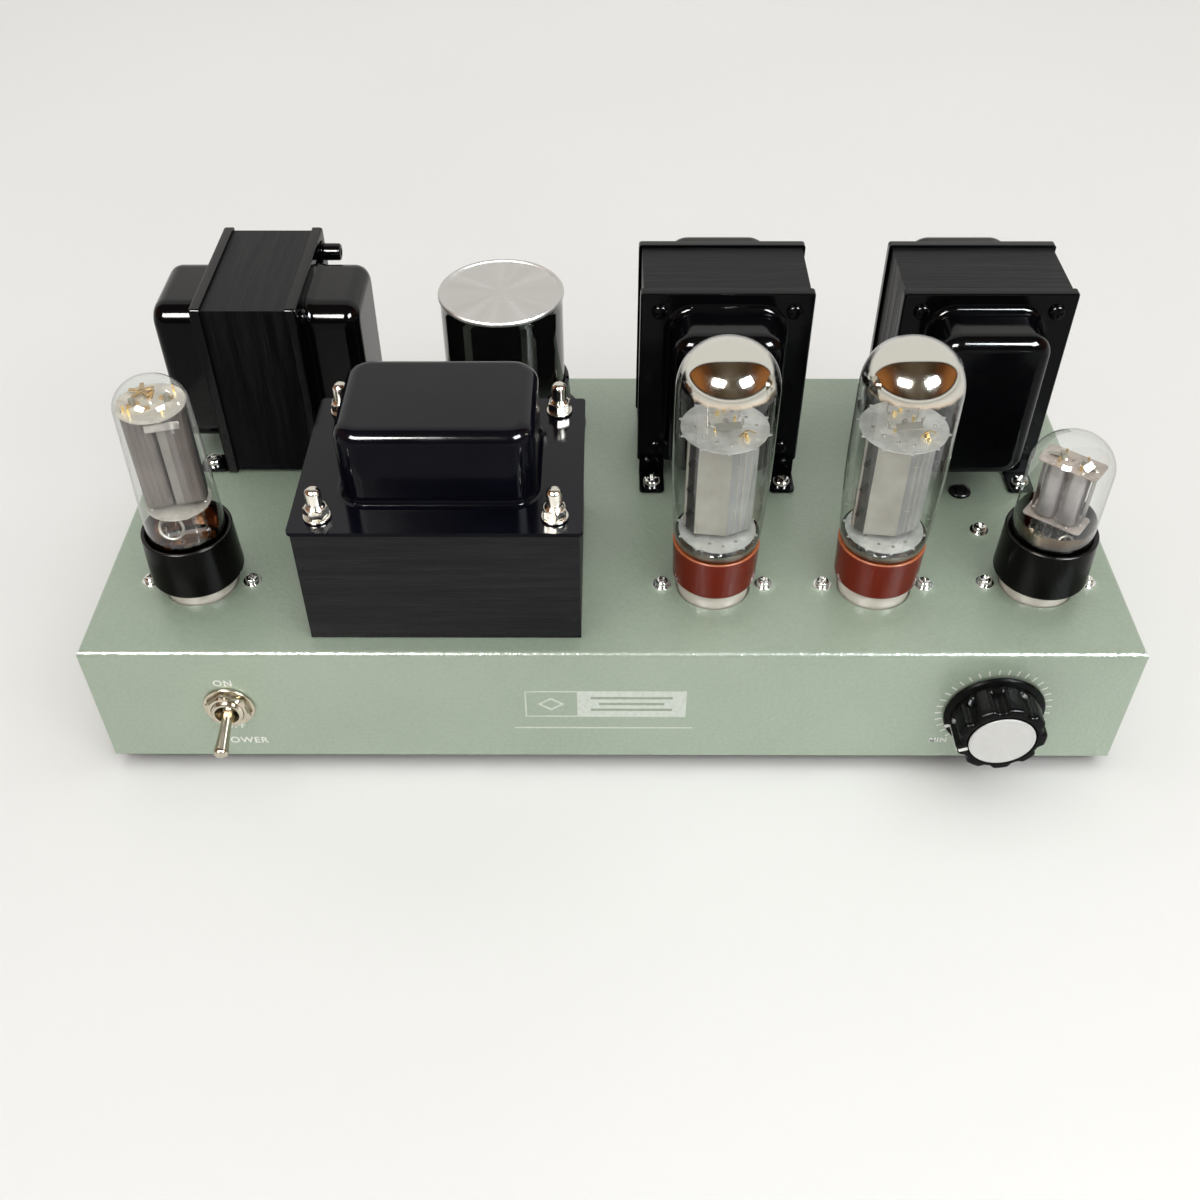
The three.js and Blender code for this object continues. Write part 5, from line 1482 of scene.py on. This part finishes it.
def build_rear():
    middle = centre("input_jacks")
    place = rear_place(middle.x, middle.z)
    shape = Shape(place).add(prism(rounded(42, 18, 2, 5), 0.3, 2.3, 0.3), BLACK_PLASTIC)
    inserts = ((-10, WHITE_PLASTIC), (10, RED_PLASTIC))
    for x, tint in inserts:
        spot = at(x, 0, 0)
        barrel = fillet([(3.0, 2.0), (4.2, 2.0), (4.2, 10.8), (3.9, 11.8), (3.3, 11.8), (3.0, 11.4)], 0.3)
        shape.add(lathe(barrel, 48, loop=True), GOLD, spot)
        shape.add(nut(5.6, 1.9, 4.2), GOLD, spot @ at(0, 0, 2.3))
        core = fillet([(1.7, 2.1), (3.05, 2.1), (3.05, 11.2), (2.6, 11.5), (1.7, 11.5)], 0.2)
        shape.add(lathe(core, 40, loop=True), tint, spot)
        shape.add(cylinder(3.5, 2.0, 2.6, 32), tint, spot)
        shape.add(turned([(1.2, -12), (4.1, -9.5), (4.1, 0.5)], 0.5, 32), GOLD, spot)
    for side in (-1, 1):
        shape.screw(ZINC, at(side * 18.4, 0, 2.2, 30), 0.72)
    fixed("phono_sockets", "brass", shape, "input_jacks")

    for side in ("left", "right"):
        node = "speaker_posts_" + side
        middle = centre(node)
        place = rear_place(middle.x, centre("input_jacks").z)
        shape = Shape(place).add(prism(rounded(42, 20, 2, 5), 0.3, 2.3, 0.3), BLACK_PLASTIC)
        for x in (-10, 10):
            spot = at(x, 0, 0)
            collar = turned([(5.4, 1.9), (5.4, 4.0), (4.7, 4.7)], 0.4, 48)
            shape.add(collar, GOLD, spot)
            stem_profile = [(2.2, 4.5)]
            z = 4.8
            while z < 18.4:
                stem_profile += [(2.3, z), (2.6, z + 0.3)]
                z += 0.6
            stem_profile = [(0, 4.4)] + stem_profile + [(2.5, 18.9), (2.1, 19.3), (0, 19.3)]
            shape.add(lathe(stem_profile, 36), GOLD, spot)
            shape.add(turned([(1.8, -13), (2.4, -12.4), (2.6, 0.5)], 0.3, 32), GOLD, spot)
        for x in (-18.6, 0, 18.6):
            shape.screw(ZINC, at(x, 0, 2.2, 20), 0.62)
        fixed("binding_posts_" + side, "brass", shape, node)

    for post, x in zip(POSTS, POST_PLACES):
        node = "post_cap_" + post
        tint = RED_PLASTIC if post.endswith("plus") else BLACK_PLASTIC
        start = 5.0
        body = rings_mesh(knurled(5.54, 12, 0.5, start, start + 10.2, 0.5))
        bore = cylinder(3, 0, 30, 40)
        shape = Shape(rear_place(x, centre(node).z)).add(carved(body, bore), tint)
        cap = lathe(fillet([(3, start + 10.2), (5.0, start + 10.2), (5.3, start + 10.7),
                            (5.0, start + 11.8), (4.2, start + 12), (3, start + 12)], 0.35), 48,
                    loop=True)
        shape.add(cap, GOLD)
        piece("terminal_" + post, "cap_" + post, "black_plastic", shape, node)


build_inlet()
build_rear()

# ------------------------------------------------------------------ tag board


def build_board():
    middle = centre("component_board")
    place = at(middle.x, middle.y, DECK)
    top = -24.0
    plate = prism(rounded(118, 50, 1.5, 4), top - 1.6, top, 0.2)
    shape = Shape(place).add(plate, BOARD)
    for sx in (-1, 1):
        for sy in (-1, 1):
            spot = at(sx * 54, sy * 20, 0)
            shape.add(turned([(2.6, top - 0.5), (2.6, -1.8)], 0.2, 6), BRASSY, spot)
    for i in range(12):
        for side in (-1, 1):
            x = -44 + 8 * i
            turret = fillet([(0, top), (1.5, top), (1.3, top + 1.2), (0.9, top + 1.4), (0.9, top + 2.4),
                             (1.2, top + 2.8), (0, top + 3.2)], 0.2)
            shape.add(lathe(turret, 20), TIN, at(x, side * 20.5, 0))
    lying = Matrix.Rotation(math.radians(90), 4, "X")
    for x, radius, half, height, look in ((-38, 7.4, 15.8, 7, SLEEVE), (-18, 7.4, 15.8, 7, SLEEVE),
                                          (2, 4.4, 11.8, 4, AMBER), (14, 4.4, 11.8, 4, AMBER)):
        can = fillet([(0, -half), (radius - 0.5, -half), (radius, -half + 0.8), (radius, half - 2.4),
                      (radius - 0.5, half - 1.9), (radius, half - 1.4), (radius - 0.5, half), (0, half)],
                     0.4)
        spot = at(x, 0, top + height) @ lying
        shape.add(lathe(can, 40), look, spot)
        for side in (-1, 1):
            wire = smooth_path([(x, side * half, top + height), (x, side * (half + 2), top + height),
                                (x, side * 19.5, top + 2.4)])
            shape.add(sweep(wire, 0.35), TIN)
    for x in (26, 33, 40):
        body = turned([(1.7, -6), (2.2, -5), (1.9, -3.6), (1.9, 3.6), (2.2, 5), (1.7, 6)], 0.5, 28)
        shape.add(body, BOARD, at(x, 0, top + 2.2) @ lying)
        for side in (-1, 1):
            shape.add(sweep(smooth_path([(x, side * 6, top + 2.2), (x, side * 12, top + 2.2),
                                         (x, side * 19.5, top + 2.0)]), 0.3), TIN)
    fixed("tag_board", "board_laminate", shape, "component_board")


build_board()

# ------------------------------------------------------------------ stage

paper = bpy.data.meshes.new("floor")
paper.from_pydata([(-6, -4, 0), (6, -4, 0), (6, 8, 0), (-6, 8, 0)], [], [(0, 1, 2, 3)])
paper.materials.append(floor_paper())
floor = bpy.data.objects.new("floor", paper)
bpy.context.scene.collection.objects.link(floor)


def reflected_room():
    """What shiny surfaces mirror: white low walls and sweep, and a dim warm ceiling in front."""
    look = Look("reflected_room", WHITE_SWEEP)
    split = look.node("SeparateXYZ", look.node("VectorMath", look.place,
                                               operation="NORMALIZE").outputs[0]).outputs
    sideways = look.maths("ABSOLUTE", split["X"])
    above = look.remap(split["Z"], 0.02, 0.16, 0.0, 1.0)
    bend = look.maths("MULTIPLY", look.maths("MULTIPLY", sideways, sideways), 0.22)
    front = look.remap(look.maths("SUBTRACT", split["Y"], bend), 0.18, 0.30, 1.0, 0.0)
    inside = look.maths("MULTIPLY", above, front)
    edge = (0.022, 0.010, 0.004)
    rim = look.ramp(inside, (0.35, WHITE_SWEEP), (0.50, edge), (1.0, edge))
    ceiling = look.ramp(sideways, (0.15, (0.11, 0.080, 0.050)), (0.50, (0.060, 0.034, 0.016)),
                        (0.74, (0.13, 0.045, 0.012)), (0.92, (0.34, 0.13, 0.035)))
    mixed = look.node("Mix", look.remap(inside, 0.80, 1.0, 0.0, 1.0), data_type="RGBA")
    look.tree.links.new(rim, mixed.inputs[6])
    look.tree.links.new(ceiling, mixed.inputs[7])
    glow = look.node("Emission", mixed.outputs[2], 1.0)
    look.tree.links.new(glow.outputs[0], look.tree.nodes["Material Output"].inputs["Surface"])
    return look.material


ball = bmesh.new()
bmesh.ops.create_icosphere(ball, subdivisions=5, radius=5.5)
shell = bpy.data.meshes.new("reflected_room")
ball.to_mesh(shell)
ball.free()
shell.materials.append(reflected_room())
room = bpy.data.objects.new("reflected_room", shell)
bpy.context.scene.collection.objects.link(room)
room.visible_camera = room.visible_diffuse = room.visible_transmission = False
room.visible_shadow = room.visible_volume_scatter = False
